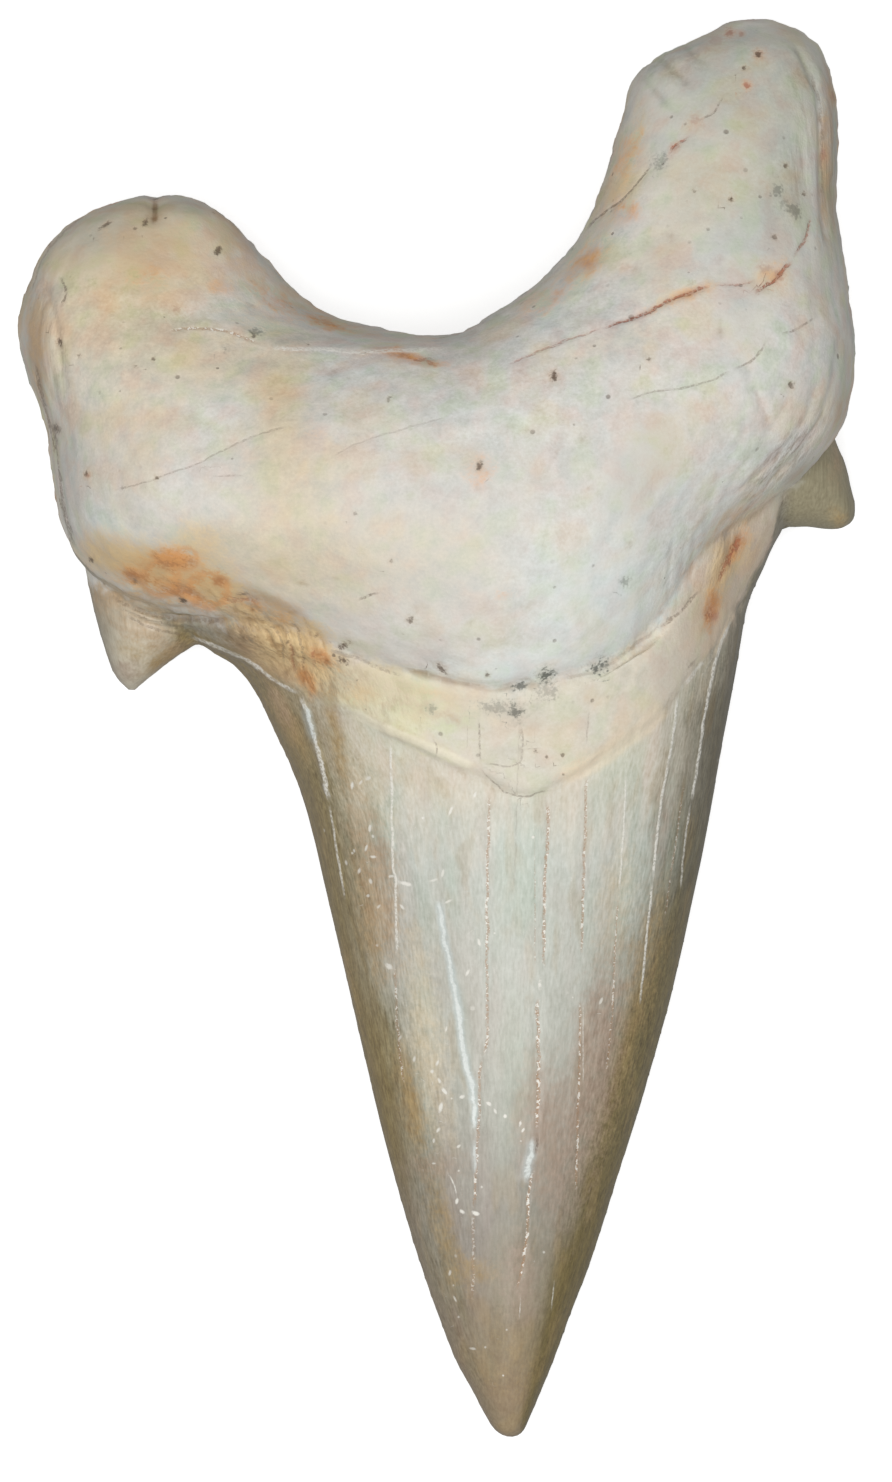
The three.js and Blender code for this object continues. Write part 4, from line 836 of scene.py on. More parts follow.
def lay_marks(skin, zones):
    """Writes on the skin's mesh all that the material reads: zones, clouds, tints, lines and spots."""
    mesh = skin.mesh
    x, y, _ = skin.points.T
    write_marks(mesh, "up", zones.up)
    write_marks(mesh, "past_root", np.clip(zones.root, -12, 12))
    write_marks(mesh, "past_enamel", np.clip(zones.enamel, -12, 60))
    write_marks(mesh, "across", zones.across)
    write_marks(mesh, "hollow", np.clip(hollows(skin, 10) * 8, -1, 1))
    # three clouds that the root's hues follow, and three drawn out down the blade for the enamel's
    hues = [cloud(skin.points, size, seed) for size, seed in ((2.4, 11), (1.7, 12), (1.3, 13))]
    write_marks(mesh, "mottle", np.column_stack(hues))
    drawn = [cloud(skin.points * (1.0, share, 1.0), size, seed)
             for size, share, seed in ((1.1, 0.07, 14), (2.4, 0.1, 15), (0.9, 0.05, 16))]
    write_marks(mesh, "drawn", np.column_stack(drawn))
    left_cusp = ease(x, -14.2, -15.6) * ease(y, 1.0, 2.0)
    right_cusp = ease(x, 19.4, 20.2) * ease(y, 9.0, 10.5)
    write_marks(mesh, "cusp", np.maximum(left_cusp, right_cusp))
    outer = outer_tints(skin, zones)
    for name, patches in PATCHES.items():
        write_marks(mesh, name, np.clip(patch_marks(skin, zones.up, patches) + outer.get(name, 0), 0, 1))
    faces_up = skin.normals[:, 2] > 0
    for name, lines in LINES.items():
        side, strength = line_marks(skin, faces_up, lines)
        write_marks(mesh, name + "_side", side)
        write_marks(mesh, name + "_line", strength)
    for name, spots in SPOTS.items():
        for i, held in enumerate(spread_out(spots)):
            write_marks(mesh, f"{name}_{i}", spot_marks(skin, faces_up, held))


def tooth_surface(source, sizes):
    """The tooth's visible surface as a mesh in metres, with its marks."""
    solid, form = solid_in_mm(source)
    fine = fine_mesh(solid, sizes.face_size / MM)
    skin = Skin(fine)
    to_edge = distance_to_sharp(skin.points, form)
    skin.points = round_facets(skin.points, form)
    form.free()
    skin.relax(ease(to_edge, 0.2, 1.4), 8)
    skin.refresh()
    shape_neck(skin)
    small = [spot for kind in ("pit", "smudge", "red", "chip") for spot in SPOTS[kind]]
    paths = [line.points for line in SHAPED_LINES]
    divide_near(fine, paths + [[(spot.x - 0.01, spot.y), (spot.x + 0.01, spot.y)] for spot in small])
    skin = Skin(fine)
    zones = zones_of(skin)
    raise_relief(skin, zones, sizes)
    lay_marks(skin, zones)
    fine.transform(Matrix.Scale(MM, 4))
    fine.shade_smooth()
    return fine


# ---- Finish ----

def srgb(red, green, blue):
    """A colour given as on a screen, 0 to 255, in the linear values that a material takes."""
    parts = [c / 255 for c in (red, green, blue)]
    return tuple(c / 12.92 if c <= 0.04045 else ((c + 0.055) / 1.055) ** 2.4 for c in parts)


class Wires:
    """Adds nodes to a tree and joins them, so that a finish reads as a list of steps."""

    def __init__(self, tree):
        self.tree = tree

    def node(self, kind, inputs=(), **settings):
        """A new node with its settings, its inputs fed by number or name."""
        made = self.tree.nodes.new("ShaderNode" + kind)
        for name, value in settings.items():
            setattr(made, name, value)
        for key, value in dict(inputs).items():
            self.feed(made.inputs[key], value)
        return made

    def feed(self, socket, value):
        """Links a socket's output, or sets a plain number, vector or colour."""
        if isinstance(value, bpy.types.NodeSocket):
            self.tree.links.new(value, socket)
        elif hasattr(value, "__len__") and socket.type == "RGBA":
            socket.default_value = (*tuple(value)[:3], 1.0)
        else:
            socket.default_value = value

    def math(self, operation, one, two=0.0):
        return self.node("Math", {0: one, 1: two}, operation=operation).outputs[0]

    def times(self, *values):
        total = values[0]
        for value in values[1:]:
            total = self.math("MULTIPLY", total, value)
        return total

    def plus(self, *values):
        total = values[0]
        for value in values[1:]:
            total = self.math("ADD", total, value)
        return total

    def mix(self, share, one, two, blend="MIX"):
        """Between two colours."""
        made = self.node("Mix", {0: share, 6: one, 7: two}, data_type="RGBA", blend_type=blend)
        return made.outputs[2]

    def blend(self, share, one, two):
        """Between two numbers."""
        return self.node("Mix", {0: share, 2: one, 3: two}).outputs[0]

    def grey(self, value):
        """A grey from black at 0 to white at 1."""
        return self.mix(value, (0.0,) * 3, (1.0,) * 3)

    def band(self, value, low, high, to_low=0.0, to_high=1.0):
        """A smooth rise from one number to another while the value goes from low to high."""
        inputs = {"Value": value, "From Min": low, "From Max": high, "To Min": to_low, "To Max": to_high}
        return self.node("MapRange", inputs, interpolation_type="SMOOTHSTEP").outputs["Result"]

    def mark(self, name, output="Fac"):
        """What the surface's points carry under that name."""
        return self.node("Attribute", attribute_name=name).outputs[output]

    def stretch(self, vector, scale):
        return self.node("Mapping", {"Vector": vector, "Scale": scale}).outputs[0]

    def noise(self, vector, size, detail, roughness):
        """Noise that is even round zero, with lumps of that size in the vector's unit."""
        inputs = {"Vector": vector, "Scale": 1 / size, "Detail": detail, "Roughness": roughness}
        return self.plus(self.node("TexNoise", inputs).outputs["Fac"], -0.5)

    def use(self, group, inputs, output):
        """One output of a shared effect."""
        made = self.tree.nodes.new("ShaderNodeGroup")
        made.node_tree = group
        for key, value in inputs.items():
            self.feed(made.inputs[key], value)
        return made.outputs[output]


def new_group(name, inputs, outputs):
    """An empty node group with those sockets, its wires, and its input and output nodes."""
    group = bpy.data.node_groups.new(name, "ShaderNodeTree")
    for label, kind in inputs.items():
        group.interface.new_socket(label, in_out="INPUT", socket_type="NodeSocket" + kind)
    for label, kind in outputs.items():
        group.interface.new_socket(label, in_out="OUTPUT", socket_type="NodeSocket" + kind)
    start = group.nodes.new("NodeGroupInput").outputs
    end = group.nodes.new("NodeGroupOutput").inputs
    return group, Wires(group), start, end


def hairline_group():
    """A wavering, broken line from a signed distance in half widths."""
    inputs = {"Side": "Float", "Strength": "Float", "Waver": "Float", "Gaps": "Float", "Breaks": "Float"}
    group, w, start, end = new_group("Hairline", inputs, {"Mask": "Float", "Halo": "Float"})
    off = w.math("ABSOLUTE", w.plus(start["Side"], start["Waver"]))
    kept = w.blend(start["Breaks"], 1.0, w.band(start["Gaps"], 0.40, 0.56))
    w.feed(end["Mask"], w.times(w.band(off, 1.4, 0.5), kept, start["Strength"]))
    w.feed(end["Halo"], w.times(w.band(off, 4.5, 0.5), kept, start["Strength"]))
    return group


def fleck_group():
    """A ragged spot from a place given in the spot's radii, with its strength as the third number."""
    inputs = {"Mark": "Vector", "Ragged": "Float"}
    group, w, start, end = new_group("Fleck", inputs, {"Mask": "Float", "Halo": "Float", "Rim": "Float"})
    parts = w.node("SeparateXYZ", {0: start["Mark"]}).outputs
    away = w.math("SQRT", w.plus(w.times(parts[0], parts[0]), w.times(parts[1], parts[1])))
    ragged = w.plus(away, start["Ragged"])
    w.feed(end["Mask"], w.times(w.band(ragged, 1.3, 0.15), parts[2]))
    w.feed(end["Halo"], w.times(w.band(ragged, 2.6, 0.6), parts[2]))
    w.feed(end["Rim"], w.times(w.band(ragged, 0.55, 0.95), w.band(ragged, 1.35, 1.0), parts[2]))
    return group


def stain_group():
    """A tint that soaks in between grains, from its smooth strength."""
    group, w, start, end = new_group("Stain", {"Strength": "Float", "Grain": "Float"}, {"Mask": "Float"})
    soaked = w.band(w.plus(start["Strength"], start["Grain"]), 0.0, 0.9)
    w.feed(end["Mask"], w.times(soaked, w.band(start["Strength"], 0.0, 0.15)))
    return group


def ramp(w, value, stops):
    """A colour by value, from (value, colour) pairs in the value's own unit."""
    low = stops[0][0]
    high = stops[-1][0]
    share = w.node("MapRange", {"Value": value, "From Min": low, "From Max": high}).outputs[0]
    made = w.node("ValToRGB", {0: share})
    band = made.color_ramp
    while len(band.elements) < len(stops):
        band.elements.new(0.5)
    for element, (at, tone) in zip(band.elements, stops):
        element.position = (at - low) / (high - low)
        element.color = (*tone, 1.0)
    return made.outputs[0]


class Grain:
    """The textures that every part of the finish shares, in millimetres. Medium and fine are speckle, while
    streaks and hair run down the blade. Cell is how far it is to the middle of the nearest grain, and lot
    holds three numbers drawn for that grain."""

    def __init__(self, w, place):
        self.medium = w.noise(place, 0.9, 4.0, 0.62)
        self.fine = w.noise(place, 0.2, 2.0, 0.6)
        self.streaks = w.noise(w.stretch(place, (1, 0.07, 1)), 0.55, 3.0, 0.6)
        self.hair = w.noise(w.stretch(place, (1, 0.012, 1)), 0.15, 2.0, 0.55)
        cells = w.node("TexVoronoi", {"Vector": place, "Scale": 0.95}).outputs
        self.cell = cells["Distance"]
        self.lot = w.node("SeparateColor", {0: cells["Color"]}).outputs
        self.x, self.y, _ = w.node("SeparateXYZ", {0: place}).outputs


def stained(w, grain, stain, look, colour, names):
    """The colour with each named pigment soaked in, by (name, how grainy) pairs."""
    for name, share in names:
        rough = w.times(w.plus(grain.medium, w.times(grain.fine, 0.5)), share)
        mask = w.use(stain, {"Strength": w.mark(name), "Grain": rough}, "Mask")
        tone = getattr(look, name)
        if name == "rust":
            tone = rust_tone(w, grain, look)
        colour = w.mix(mask, colour, tone)
    return colour


def rust_tone(w, grain, look):
    """Orange rust, brown between the grains where it is thick."""
    thick = w.plus(w.mark("rust"), w.times(grain.medium, 0.9))
    between = w.band(w.plus(grain.cell, w.times(grain.fine, 1.5)), 0.3, 0.75)
    return w.mix(w.times(between, w.band(thick, 0.0, 0.6), 0.7), look.rust, look.rust_deep)


def mottled(w, grain, look, colour):
    """The colour seen through faint warm, green, pink and cold clouds."""
    hues = w.node("SeparateXYZ", {0: w.mark("mottle", "Vector")}).outputs
    shift = w.times(grain.medium, 1.1)
    lively = w.band(grain.y, 8.0, 24.0, 0.45, 0.75)
    warmth = w.plus(hues[0], shift)
    leaning = w.plus(w.times(hues[1], 0.6), w.times(hues[2], 0.7), w.times(shift, -1.0))
    clouds = ((warmth, 1, look.warm), (warmth, -1, look.cold),
              (leaning, 1, look.green), (leaning, -1, look.pink))
    for hue, way, tone in clouds:
        colour = w.mix(w.times(w.band(hue, 0.0, 0.9 * way), lively), colour, tone, "MULTIPLY")
    return colour


def root_colour(w, grain, look, stain):
    """The root: pale bone in soft mottled hues, stained by the pigments of its marks, whose pale tint also
    paints light on some slopes.
    """
    colour = stained(w, grain, stain, look, look.bone, (("tan", 0.5), ("cool", 0.5), ("slate", 0.8)))
    colour = mottled(w, grain, look, colour)
    return stained(w, grain, stain, look, colour, (("umber", 1.0), ("ochre", 0.8), ("rust", 1.2)))


def neck_colour(w, grain, look, stain):
    """The band between root and enamel: yellow cream at the left, paler in the middle, buff at the right."""
    rough = w.times(grain.medium, 6.0)
    # At the far left the band is dark olive brown: its folds' own colour, darkened as painted shade under the
    # root's overhanging lip.
    colour = ramp(w, w.plus(grain.x, rough), [
        (-20.0, look.shaded_neck_rim), (-15.0, look.shaded_neck_rim), (-9.0, look.umber), (-5.0, look.neck_left),
        (-1.0, look.neck_left), (2.0, look.neck), (9.0, look.neck), (11.5, look.neck_right),
        (15.0, look.neck_far),
    ])
    names = (("gold", 1.2), ("tan", 1.0), ("slate", 1.0), ("umber", 1.0), ("ochre", 0.8), ("rust", 1.2))
    return stained(w, grain, stain, look, mottled(w, grain, look, colour), names)


def enamel_colour(w, grain, look, stain):
    """The enamel: grey cream in the middle, olive brown with painted shade on the flanks, brown towards the
    point.
    """
    hues = w.node("SeparateXYZ", {0: w.mark("drawn", "Vector")}).outputs
    y = w.plus(grain.y, w.times(grain.streaks, 4.0), w.times(hues[1], 1.5))
    middle = ramp(w, y, [
        (-40.0, look.tip), (-35.0, look.low), (-28.0, look.low_middle), (-19.0, look.middle),
        (-7.0, look.upper), (-2.0, look.neck),
    ])
    # The flank colours are olive brown enamel with painted shade, darker for the steep flanks, the right one
    # most.
    left = ramp(w, y, [
        (-40.0, look.tip), (-33.0, look.low), (-22.0, look.shaded_brown_left_flank), (10.0, look.shaded_brown_left_flank),
    ])
    right = ramp(w, y, [
        (-40.0, look.tip), (-37.5, look.shaded_olive_flank_low), (-14.0, look.shaded_olive_flank_low), (-2.0, look.shaded_olive_flank),
        (10.0, look.shaded_olive_flank),
    ])
    across = w.plus(w.mark("across"), w.times(grain.streaks, 0.1), w.times(hues[2], 0.03))
    to_left = w.plus(across, w.band(grain.y, -4.0, -26.0, -0.04, 0.1),
                     w.times(w.band(grain.y, -13.0, -18.0), w.band(grain.y, -29.0, -23.0), -0.12))
    to_right = w.plus(across, w.band(grain.y, -4.0, -22.0, -0.04, 0.17),
                      w.band(grain.y, -27.0, -31.0, 0.0, 0.06))
    # each by the value it follows, where that starts and is full, how strongly, and in what colour
    washes = (
        (hues[0], -0.4, 0.9, 0.45, look.rose, "MULTIPLY"),
        (hues[1], 0.4, -0.9, 0.6, look.mist, "MULTIPLY"),
        (to_left, -0.58, -0.98, 0.9, left, "MIX"),
        (to_right, 0.6, 0.96, 0.95, right, "MIX"),
        (w.plus(hues[2], grain.streaks), 0.2, 1.0, 0.2, look.gold, "MIX"),
    )
    colour = middle
    for value, low, high, strength, tone, way in washes:
        colour = w.mix(w.times(w.band(value, low, high), strength), colour, tone, way)
    cusp = w.mix(w.band(grain.x, -2.0, 2.0), look.left_cusp, look.right_cusp)
    cusp = w.mix(w.times(w.band(w.plus(grain.medium, grain.streaks), -0.1, 0.3), 0.3), cusp, look.shaded_neck_rim)
    # Painted shade at the cusplet's far left, under the root's overhanging lip.
    cusp = w.mix(w.times(w.band(grain.x, -17.8, -19.4), 0.45), cusp, look.shaded_neck_rim)
    colour = w.mix(w.mark("cusp"), colour, cusp)
    names = (("tan", 0.6), ("gold", 0.8), ("lilac", 0.8), ("umber", 0.8))
    colour = stained(w, grain, stain, look, colour, names)
    worn = w.plus(w.times(grain.hair, 1.2), w.times(grain.streaks, 0.5), w.times(grain.fine, 0.45), 0.5)
    side = w.band(w.math("ABSOLUTE", w.mark("across")), 0.3, 0.85)
    share = w.plus(w.times(side, 0.35), w.band(grain.y, -32.0, -16.0, 0.3, 0.45),
                   w.times(w.mark("cusp"), -0.35))
    return w.mix(share, colour, w.grey(worn), "SOFT_LIGHT")


class Masks:
    """Where each zone and mark of the tooth shows, from what the surface's points carry."""

    def __init__(self, w, grain, mesh):
        self.w = w
        self.grain = grain
        self.marks = sorted(mark.name for mark in mesh.attributes)
        self.hairline = hairline_group()
        self.fleck = fleck_group()
        self.enamel = w.band(w.plus(w.mark("past_enamel"), w.times(grain.medium, 1.4)), -0.45, 0.4)
        neck = w.band(w.plus(w.mark("past_root"), w.times(grain.medium, 2.2)), -0.6, 0.6)
        self.neck = w.times(neck, w.mark("up"))
        self.rust = self.line("rust", 7.0, 0.75)
        self.grey = self.line("grey", 6.0, 0.75)
        self.white = self.line("white", 3.0, 0.6)
        self.amber = self.line("amber", 4.0, 0.75)
        self.pits = self.spots("pit", 2.6)
        # flecks and pores sit in the middle of grains, each as large as its grain's own number makes it
        in_grain = w.math("DIVIDE", grain.cell, w.plus(w.times(grain.lot[1], 0.12), 0.06))
        broken = w.math("LESS_THAN", grain.lot[0], w.mark("flecks"))
        flecks = w.times(w.band(in_grain, 1.2, 0.5), broken, self.enamel)
        self.chips = w.math("MAXIMUM", self.spots("chip", 1.4, inset=-0.4), w.times(flecks, 0.8))
        open_pore = w.math("LESS_THAN", grain.lot[0], w.band(grain.y, 12.0, 26.0, 0.25, 0.5))
        off_enamel = w.plus(w.times(self.enamel, -1.0), 1.0)
        self.pores = w.times(w.band(in_grain, 1.1, 0.4), open_pore, grain.lot[2], off_enamel)

    def line(self, name, waver, breaks, output="Mask"):
        """The lines of one finish, by how far they waver and how often they break off."""
        w = self.w
        inputs = {
            "Side": w.mark(name + "_side"), "Strength": w.mark(name + "_line"),
            "Waver": w.times(self.grain.medium, waver), "Gaps": w.plus(self.grain.fine, 0.5),
            "Breaks": breaks,
        }
        return w.use(self.hairline, inputs, output)

    def spots(self, kind, ragged, output="Mask", inset=0.0):
        """All the spots of one kind, by how ragged they are. An inset below zero makes them larger."""
        w = self.w
        rough = w.plus(w.times(self.grain.fine, ragged), w.times(self.grain.medium, ragged), inset)
        total = 0.0
        for mark in self.marks:
            if mark.startswith(kind + "_"):
                mask = w.use(self.fleck, {"Mark": w.mark(mark, "Vector"), "Ragged": rough}, output)
                total = w.math("MAXIMUM", mask, total)
        return total


def tooth_colour(w, grain, look, masks):
    """The zones of root, neck and enamel, and over them the lines and spots, the strongest last."""
    stain = stain_group()
    root = w.mix(masks.neck, root_colour(w, grain, look, stain), neck_colour(w, grain, look, stain))
    # Painted shade along with dirt: the root is darkened in its hollows, found from the surface's curvature,
    # and in the grooves of its fine folds.
    creased = w.times(w.band(grain.streaks, 0.05, -0.15), w.mark("wrinkle"), 0.6)
    hollow = w.band(w.plus(w.mark("hollow"), w.times(grain.medium, 0.3)), 0.04, 0.8)
    hollow = w.times(hollow, w.band(w.mark("past_enamel"), -0.6, -1.8, 0.0, 0.9),
                     w.band(w.mark("past_root"), 0.6, -0.8, 0.35, 1.0))
    root = w.mix(w.math("MAXIMUM", hollow, creased), root, look.hollow_shade_and_dirt, "MULTIPLY")
    speckle = w.plus(w.times(grain.fine, 0.5), 0.5, w.times(grain.medium, 0.7))
    root = w.mix(w.band(grain.y, 6.0, 24.0, 0.62, 0.95), root, w.grey(speckle), "SOFT_LIGHT")
    colour = w.mix(masks.enamel, root, enamel_colour(w, grain, look, stain))
    # Painted light on the lips: a white highlight at the left, peach lightened against the crease's shade at
    # the right.
    lip = w.mix(w.band(grain.x, 3.0, 6.0), look.lip_left_highlight, look.peach_lip_right_lit)
    beads = w.mix(w.band(grain.fine, 0.02, 0.1), look.amber, look.chip)
    # each by where it shows, how strongly, and in what colour
    layers = (
        # The lips carry painted light: a highlight on the left ledge, lightening against shade at the right.
        (masks.line("lip", 1.0, 0.2), 0.75, lip),
        (masks.amber, 0.95, beads),
        # Among the white lines are painted highlights: the enamel's left ridge and the glint's core.
        (masks.white, 0.95, look.chip),
        # The painted glint along the scratches: a soft bluish halo round a white core.
        (masks.line("streak", 4.0, 0.2, "Halo"), 0.45, look.scratch_glint),
        (masks.line("streak", 6.0, 0.35), 1.0, w.mix(0.4, look.chip, look.scratch_glint)),
        (masks.grey, 0.75, look.crack),
        (masks.line("rust", 7.0, 0.3, "Halo"), 0.2, look.rust_line),
        (masks.rust, 0.85, look.rust_line),
        (masks.spots("ring", 0.9, "Rim"), 0.7, rust_tone(w, grain, look)),
        (masks.pores, 0.55, look.pit),
        (masks.spots("red", 2.4, "Halo"), 0.35, look.rust),
        (masks.spots("red", 2.4), 0.75, look.rust_line),
        (masks.spots("pit", 2.6, "Halo"), 0.25, look.umber),
        (masks.pits, 0.85, look.pit),
        (masks.spots("smudge", 3.0, "Halo"), 0.4, look.slate),
        (masks.spots("smudge", 4.0), 0.8, look.smudge),
        (masks.chips, 0.9, look.chip),
    )
    for mask, share, tone in layers:
        colour = w.mix(w.times(mask, share), colour, tone)
    return colour


def tooth_height(w, grain, masks):
    """How far the finest form stands out, in millimetres. Cracks and chips lie below zero."""
    folds = w.times(w.plus(grain.streaks, w.times(grain.medium, 0.3)), w.mark("wrinkle"), 0.22)
    root = w.plus(w.times(grain.medium, 0.05), w.times(grain.fine, 0.016), folds,
                  w.times(masks.pores, -0.05), w.times(masks.pits, -0.05))
    crown = w.plus(w.times(grain.streaks, 0.01), w.times(grain.fine, 0.002))
    cuts = w.plus(w.times(masks.rust, -0.05), w.times(masks.grey, -0.03),
                  w.times(masks.amber, -0.012), w.times(masks.chips, -0.015))
    return w.plus(w.blend(masks.enamel, root, crown), cuts, w.times(masks.white, 0.015))


def tooth_roughness(w, grain, look, masks):
    """Matt on the root, smooth on the enamel, and duller again where the enamel is broken."""
    root = w.band(grain.medium, -0.2, 0.2, 0.6, 0.72)
    crown = w.band(grain.streaks, -0.25, 0.25, look.gloss_low, look.gloss_high)
    broken = w.math("MAXIMUM", masks.chips, w.math("MAXIMUM", masks.white, masks.amber))
    return w.blend(broken, w.blend(masks.enamel, root, crown), 0.6)


def tooth_finish(look, mesh):
    """The whole tooth's material: root, neck and enamel with their stains, cracks and flecks."""
    material = bpy.data.materials.new("fossil_tooth")
    material.use_nodes = True
    w = Wires(material.node_tree)
    shader = w.tree.nodes["Principled BSDF"]
    grain = Grain(w, w.stretch(w.node("TexCoord").outputs["Object"], (1 / MM,) * 3))
    masks = Masks(w, grain, mesh)
    bump = w.node("Bump", {"Strength": 1.0, "Distance": MM, "Height": tooth_height(w, grain, masks)})
    w.feed(shader.inputs["Base Color"], tooth_colour(w, grain, look, masks))
    w.feed(shader.inputs["Normal"], bump.outputs[0])
    w.feed(shader.inputs["Roughness"], tooth_roughness(w, grain, look, masks))
    w.feed(shader.inputs["Coat Weight"], w.times(masks.enamel, 0.3))
    shader.inputs["Coat Roughness"].default_value = 0.22
    shader.inputs["Specular IOR Level"].default_value = 0.45
    return material


def floor_finish(studio):
    """Pale and matt. Its own glow only lifts what the camera sees of it, and lights nothing."""
    material = bpy.data.materials.new("floor_white")
    material.use_nodes = True
    w = Wires(material.node_tree)
    shader = w.tree.nodes["Principled BSDF"]
    seen = w.node("LightPath").outputs["Is Camera Ray"]
    w.feed(shader.inputs["Base Color"], w.mix(seen, studio.floor_bounce, studio.floor))
    w.feed(shader.inputs["Emission Color"], w.mix(seen, (0.0, 0.0, 0.0), (studio.floor_glow,) * 3))
    shader.inputs["Emission Strength"].default_value = 1.0
    shader.inputs["Roughness"].default_value = 0.9
    return material


# ---- What a user can change ----

def tint(name, description, *parts):
    """A colour that a user can change, given as on a screen."""
    return FloatVectorProperty(
        name=name, description=description, default=srgb(*parts), subtype="COLOR", min=0.0, max=1.0)


def amount(name, description, default, low, high, **kind):
    """A number that a user can change."""
    return FloatProperty(name=name, description=description, default=default, min=low, max=high, **kind)


def length(name, description, default, low, high):
    """A length in metres that a user can change."""
    return amount(name, description, default, low, high, precision=5, unit="LENGTH", subtype="DISTANCE")


class FossilSizes(bpy.types.PropertyGroup):
    """Sizes of the tooth's surface."""

    face_size: length("Face size", "Width of the small faces that make the surface", 0.00034, 0.0002, 0.002)
    root_lumps: length("Root lumps", "How far the root's broad lumps stand out", ROOT_LUMPS, 0.0, 0.001)


class FossilColours(bpy.types.PropertyGroup):
    """Colours of the tooth."""

    bone: tint("Root", "Palest ground colour of the root", 221, 217, 208)
    warm: tint("Warm mottle", "Filter of the root's cream clouds", 255, 247, 232)
    green: tint("Green mottle", "Filter of the root's greenish clouds", 246, 255, 240)
    cold: tint("Cold mottle", "Filter of the root's bluish clouds", 244, 250, 255)
    pink: tint("Pink mottle", "Filter of the root's pinkish clouds", 255, 242, 241)
    tan: tint("Tan", "Broad tan stain of the root", 222, 206, 176)
    # Pale stretches of the root, and painted light on some of its slopes and rims.
    cool: tint("Cool white", "Broad pale stretches of the root", 231, 234, 228)
    slate: tint("Slate", "Grey green at the root's edges", 184, 184, 170)
    umber: tint("Umber", "Brown where the root is stained", 190, 162, 128)
    rust: tint("Rust", "Orange stain", 230, 165, 102)
    rust_deep: tint("Deep rust", "Brown between the grains of the orange stain", 182, 124, 80)
    ochre: tint("Ochre", "Yellow edges of the orange stain", 226, 196, 146)
    # Painted shade along with dirt, multiplied into the root's hollows and the grooves of its folds.
    hollow_shade_and_dirt: tint("Dirt", "What darkens the hollows", 170, 142, 112)
    neck_left: tint("Left neck", "Yellow cream of the band between root and enamel", 232, 227, 197)
    # Olive brown folds with painted shade under the root's overhanging lip.
    shaded_neck_rim: tint("Neck rim", "Brown olive folds below the root at the far left", 122, 112, 88)
    neck: tint("Neck", "The band's middle", 224, 217, 200)
    neck_right: tint("Right neck", "The band where it turns up at the right", 232, 223, 204)
    neck_far: tint("Far neck", "The band where it ends at the right", 216, 201, 182)
    # Painted light: the left lip's white is the highlight on its ledge; the right lip's peach is lightened
    # against the crease's shade.
    lip_left_highlight: tint("Left lip", "The white lip that ends the neck at the left", 244, 236, 212)
    peach_lip_right_lit: tint("Right lip", "The peach lip that ends the neck at the right", 250, 231, 200)
    upper: tint("Enamel", "Enamel just below the neck", 203, 206, 196)
    middle: tint("Middle enamel", "Enamel half way down the blade", 187, 187, 175)
    low_middle: tint("Lower enamel", "Enamel of the lower blade", 158, 150, 139)
    low: tint("Low enamel", "Enamel near the point", 152, 136, 110)
    tip: tint("Point", "The point", 153, 135, 107)
    # Painted shade: the olive brown flank colours are darkened for the steep flanks, the right one most.
    shaded_olive_flank: tint("Flank", "The blade's olive flanks", 92, 84, 54)
    shaded_olive_flank_low: tint("Low flank", "The flanks further down", 118, 103, 56)
    shaded_brown_left_flank: tint("Left flank", "The blade's left flank, browner than the right", 137, 115, 58)
    rose: tint("Rose", "Filter of the enamel's pinkish streaks", 255, 243, 242)
    mist: tint("Mist", "Filter of the enamel's bluish streaks", 242, 254, 248)
    # A painted glint: the bluish white light that the polish's scratches reflect.
    scratch_glint: tint("Gleam", "Bluish white scratches in the polish", 206, 224, 228)
    left_cusp: tint("Left cusplet", "Enamel of the left cusplet", 206, 197, 176)
    right_cusp: tint("Right cusplet", "Enamel of the right cusplet", 152, 144, 117)
    gold: tint("Gold", "Yellow brown streaks", 176, 148, 100)
    lilac: tint("Lilac", "Faint violet grey of the enamel", 168, 148, 130)
    amber: tint("Amber cracks", "Fine orange brown cracks in the enamel", 168, 126, 86)
    # Also the white of the painted highlight on the enamel's left ridge and of the glint's core.
    chip: tint("Chips", "Broken enamel", 243, 240, 230)
    crack: tint("Cracks", "Fine grey cracks", 124, 106, 90)
    rust_line: tint("Rust cracks", "Rust in the root's cracks", 166, 94, 70)
    pit: tint("Pits", "Small brown pits", 96, 76, 60)
    smudge: tint("Smudges", "Dark grey smudges", 82, 84, 78)
    gloss_low: amount("Smoothest enamel", "Roughness where the enamel is best kept", 0.34, 0.0, 1.0)
    gloss_high: amount("Roughest enamel", "Roughness where the enamel is worn", 0.46, 0.0, 1.0)


class FossilStudio(bpy.types.PropertyGroup):
    """The plain studio round the tooth."""

    key_power: amount("Key light", "Power of the large soft light", 65.0, 0.0, 2000.0, unit="POWER")
    key_size: length("Key size", "Width of the large soft light", 2.4, 0.1, 5.0)
    fill: amount("Fill", "Light from all round", 0.39, 0.0, 5.0)
    floor: tint("Floor", "Colour of the floor as the camera sees it", 215, 215, 215)
    floor_bounce: tint("Floor bounce", "Colour that the floor gives back to the tooth", 150, 150, 150)
    floor_glow: amount("Floor glow", "Lift of the floor towards white", 0.62, 0.0, 2.0)
    view_height: length("View height", "Length of the scene that the picture shows", 0.08373, 0.02, 1.0)


# ---- Operators and panel ----

class FOSSIL_OT_tooth(bpy.types.Operator):
    """Builds the fossil tooth's surface round its solid"""

    bl_idname = "fossil.tooth"
    bl_label = "Fossil tooth"
    bl_options = {"REGISTER", "UNDO"}

    def execute(self, context):
        mesh = tooth_surface(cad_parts[NODE], context.scene.fossil_sizes)
        mesh.name = "tooth_surface"
        mesh.materials.clear()
        mesh.materials.append(tooth_finish(context.scene.fossil_colours, mesh))
        piece = bpy.data.objects.new("tooth_surface", mesh)
        context.scene.collection.objects.link(piece)
        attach(piece, "root")
        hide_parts(NODE)
        return {"FINISHED"}


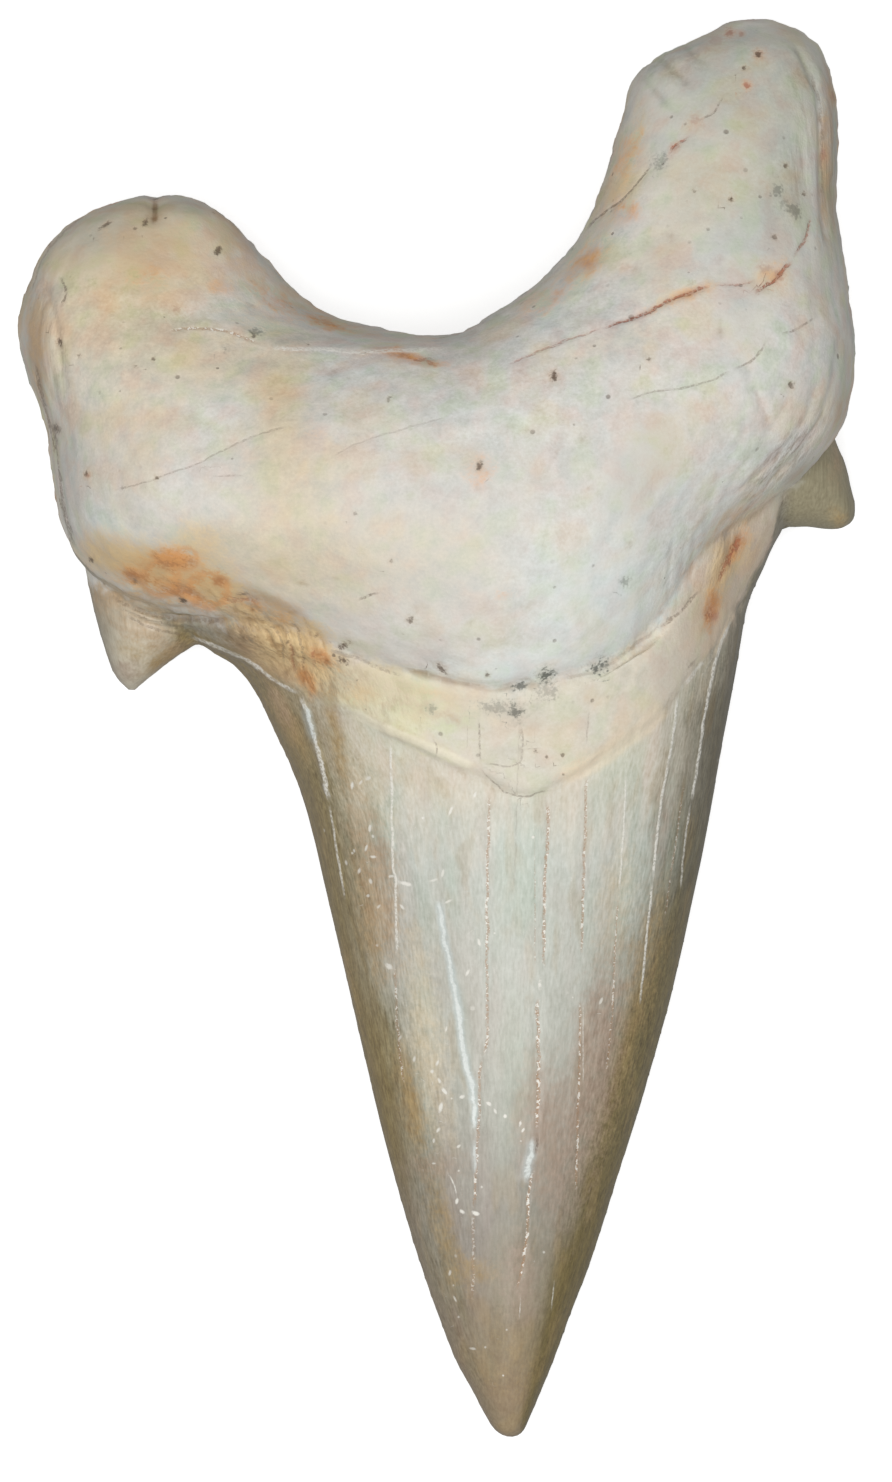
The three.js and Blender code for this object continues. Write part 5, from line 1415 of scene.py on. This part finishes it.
class FOSSIL_OT_stage(bpy.types.Operator):
    """Sets up the pale floor, the soft lights and the camera straight above the tooth"""

    bl_idname = "fossil.stage"
    bl_label = "Studio stage"
    bl_options = {"REGISTER", "UNDO"}

    def execute(self, context):
        scene = context.scene
        studio = scene.fossil_studio
        floor = self.floor(scene, studio)
        key = self.key_light(scene, studio)
        camera = self.camera(scene, studio)
        self.surroundings(scene, studio)
        scene.view_settings.view_transform = "Standard"
        return {"FINISHED"}

    def floor(self, scene, studio):
        """A flat square that the tooth lies on."""
        mesh = bpy.data.meshes.new("floor")
        corners = [(x * FLOOR_HALF, y * FLOOR_HALF, 0.0) for x, y in ((-1, -1), (1, -1), (1, 1), (-1, 1))]
        mesh.from_pydata(corners, [], [(0, 1, 2, 3)])
        mesh.materials.append(floor_finish(studio))
        floor = bpy.data.objects.new("floor", mesh)
        scene.collection.objects.link(floor)
        return floor

    def key_light(self, scene, studio):
        """One large square light overhead, a little from the tooth's lower left."""
        light = bpy.data.lights.new("key", "AREA")
        light.shape = "SQUARE"
        light.size = studio.key_size
        light.energy = studio.key_power
        key = bpy.data.objects.new("key", light)
        towards = Vector(KEY_FROM).normalized()
        key.location = towards * KEY_AWAY
        key.rotation_euler = towards.to_track_quat("Z", "Y").to_euler()
        key.visible_camera = False
        scene.collection.objects.link(key)
        return key

    def camera(self, scene, studio):
        """A camera straight above, so far off that the picture shows the view height."""
        data = bpy.data.cameras.new("camera")
        data.lens = LENS
        data.sensor_width = SENSOR
        data.clip_end = 20.0
        camera = bpy.data.objects.new("camera", data)
        x, y, z = (axis * MM for axis in PICTURE_CENTRE)
        camera.location = (x, y, z + studio.view_height * LENS / SENSOR)
        scene.collection.objects.link(camera)
        scene.camera = camera
        return camera

    def surroundings(self, scene, studio):
        """Even light from all round, and plain white where the camera looks past the floor."""
        world = bpy.data.worlds.new("soft_white")
        scene.world = world
        world.use_nodes = True
        w = Wires(world.node_tree)
        seen = w.node("LightPath").outputs["Is Camera Ray"]
        background = world.node_tree.nodes["Background"]
        background.inputs["Color"].default_value = (1.0, 1.0, 1.0, 1.0)
        w.feed(background.inputs["Strength"], w.blend(seen, studio.fill, 1.0))


class FOSSIL_PT_panel(bpy.types.Panel):
    """The tooth's sizes, colours and steps"""

    bl_idname = "FOSSIL_PT_panel"
    bl_label = "Fossil tooth"
    bl_space_type = "VIEW_3D"
    bl_region_type = "UI"
    bl_category = "Fossil tooth"

    def draw(self, context):
        layout = self.layout
        for operator in (FOSSIL_OT_tooth, FOSSIL_OT_stage):
            layout.operator(operator.bl_idname)
        for group in (context.scene.fossil_sizes, context.scene.fossil_studio, context.scene.fossil_colours):
            box = layout.box()
            for name in group.__annotations__:
                box.prop(group, name)


CLASSES = (FossilSizes, FossilColours, FossilStudio, FOSSIL_OT_tooth, FOSSIL_OT_stage, FOSSIL_PT_panel)


def register():
    for item in CLASSES:
        bpy.utils.register_class(item)
    bpy.types.Scene.fossil_sizes = PointerProperty(type=FossilSizes)
    bpy.types.Scene.fossil_colours = PointerProperty(type=FossilColours)
    bpy.types.Scene.fossil_studio = PointerProperty(type=FossilStudio)


def unregister():
    del bpy.types.Scene.fossil_studio
    del bpy.types.Scene.fossil_colours
    del bpy.types.Scene.fossil_sizes
    for item in reversed(CLASSES):
        bpy.utils.unregister_class(item)


def main():
    register()
    bpy.ops.fossil.tooth()
    bpy.ops.fossil.stage()


if __name__ == "__main__":
    main()
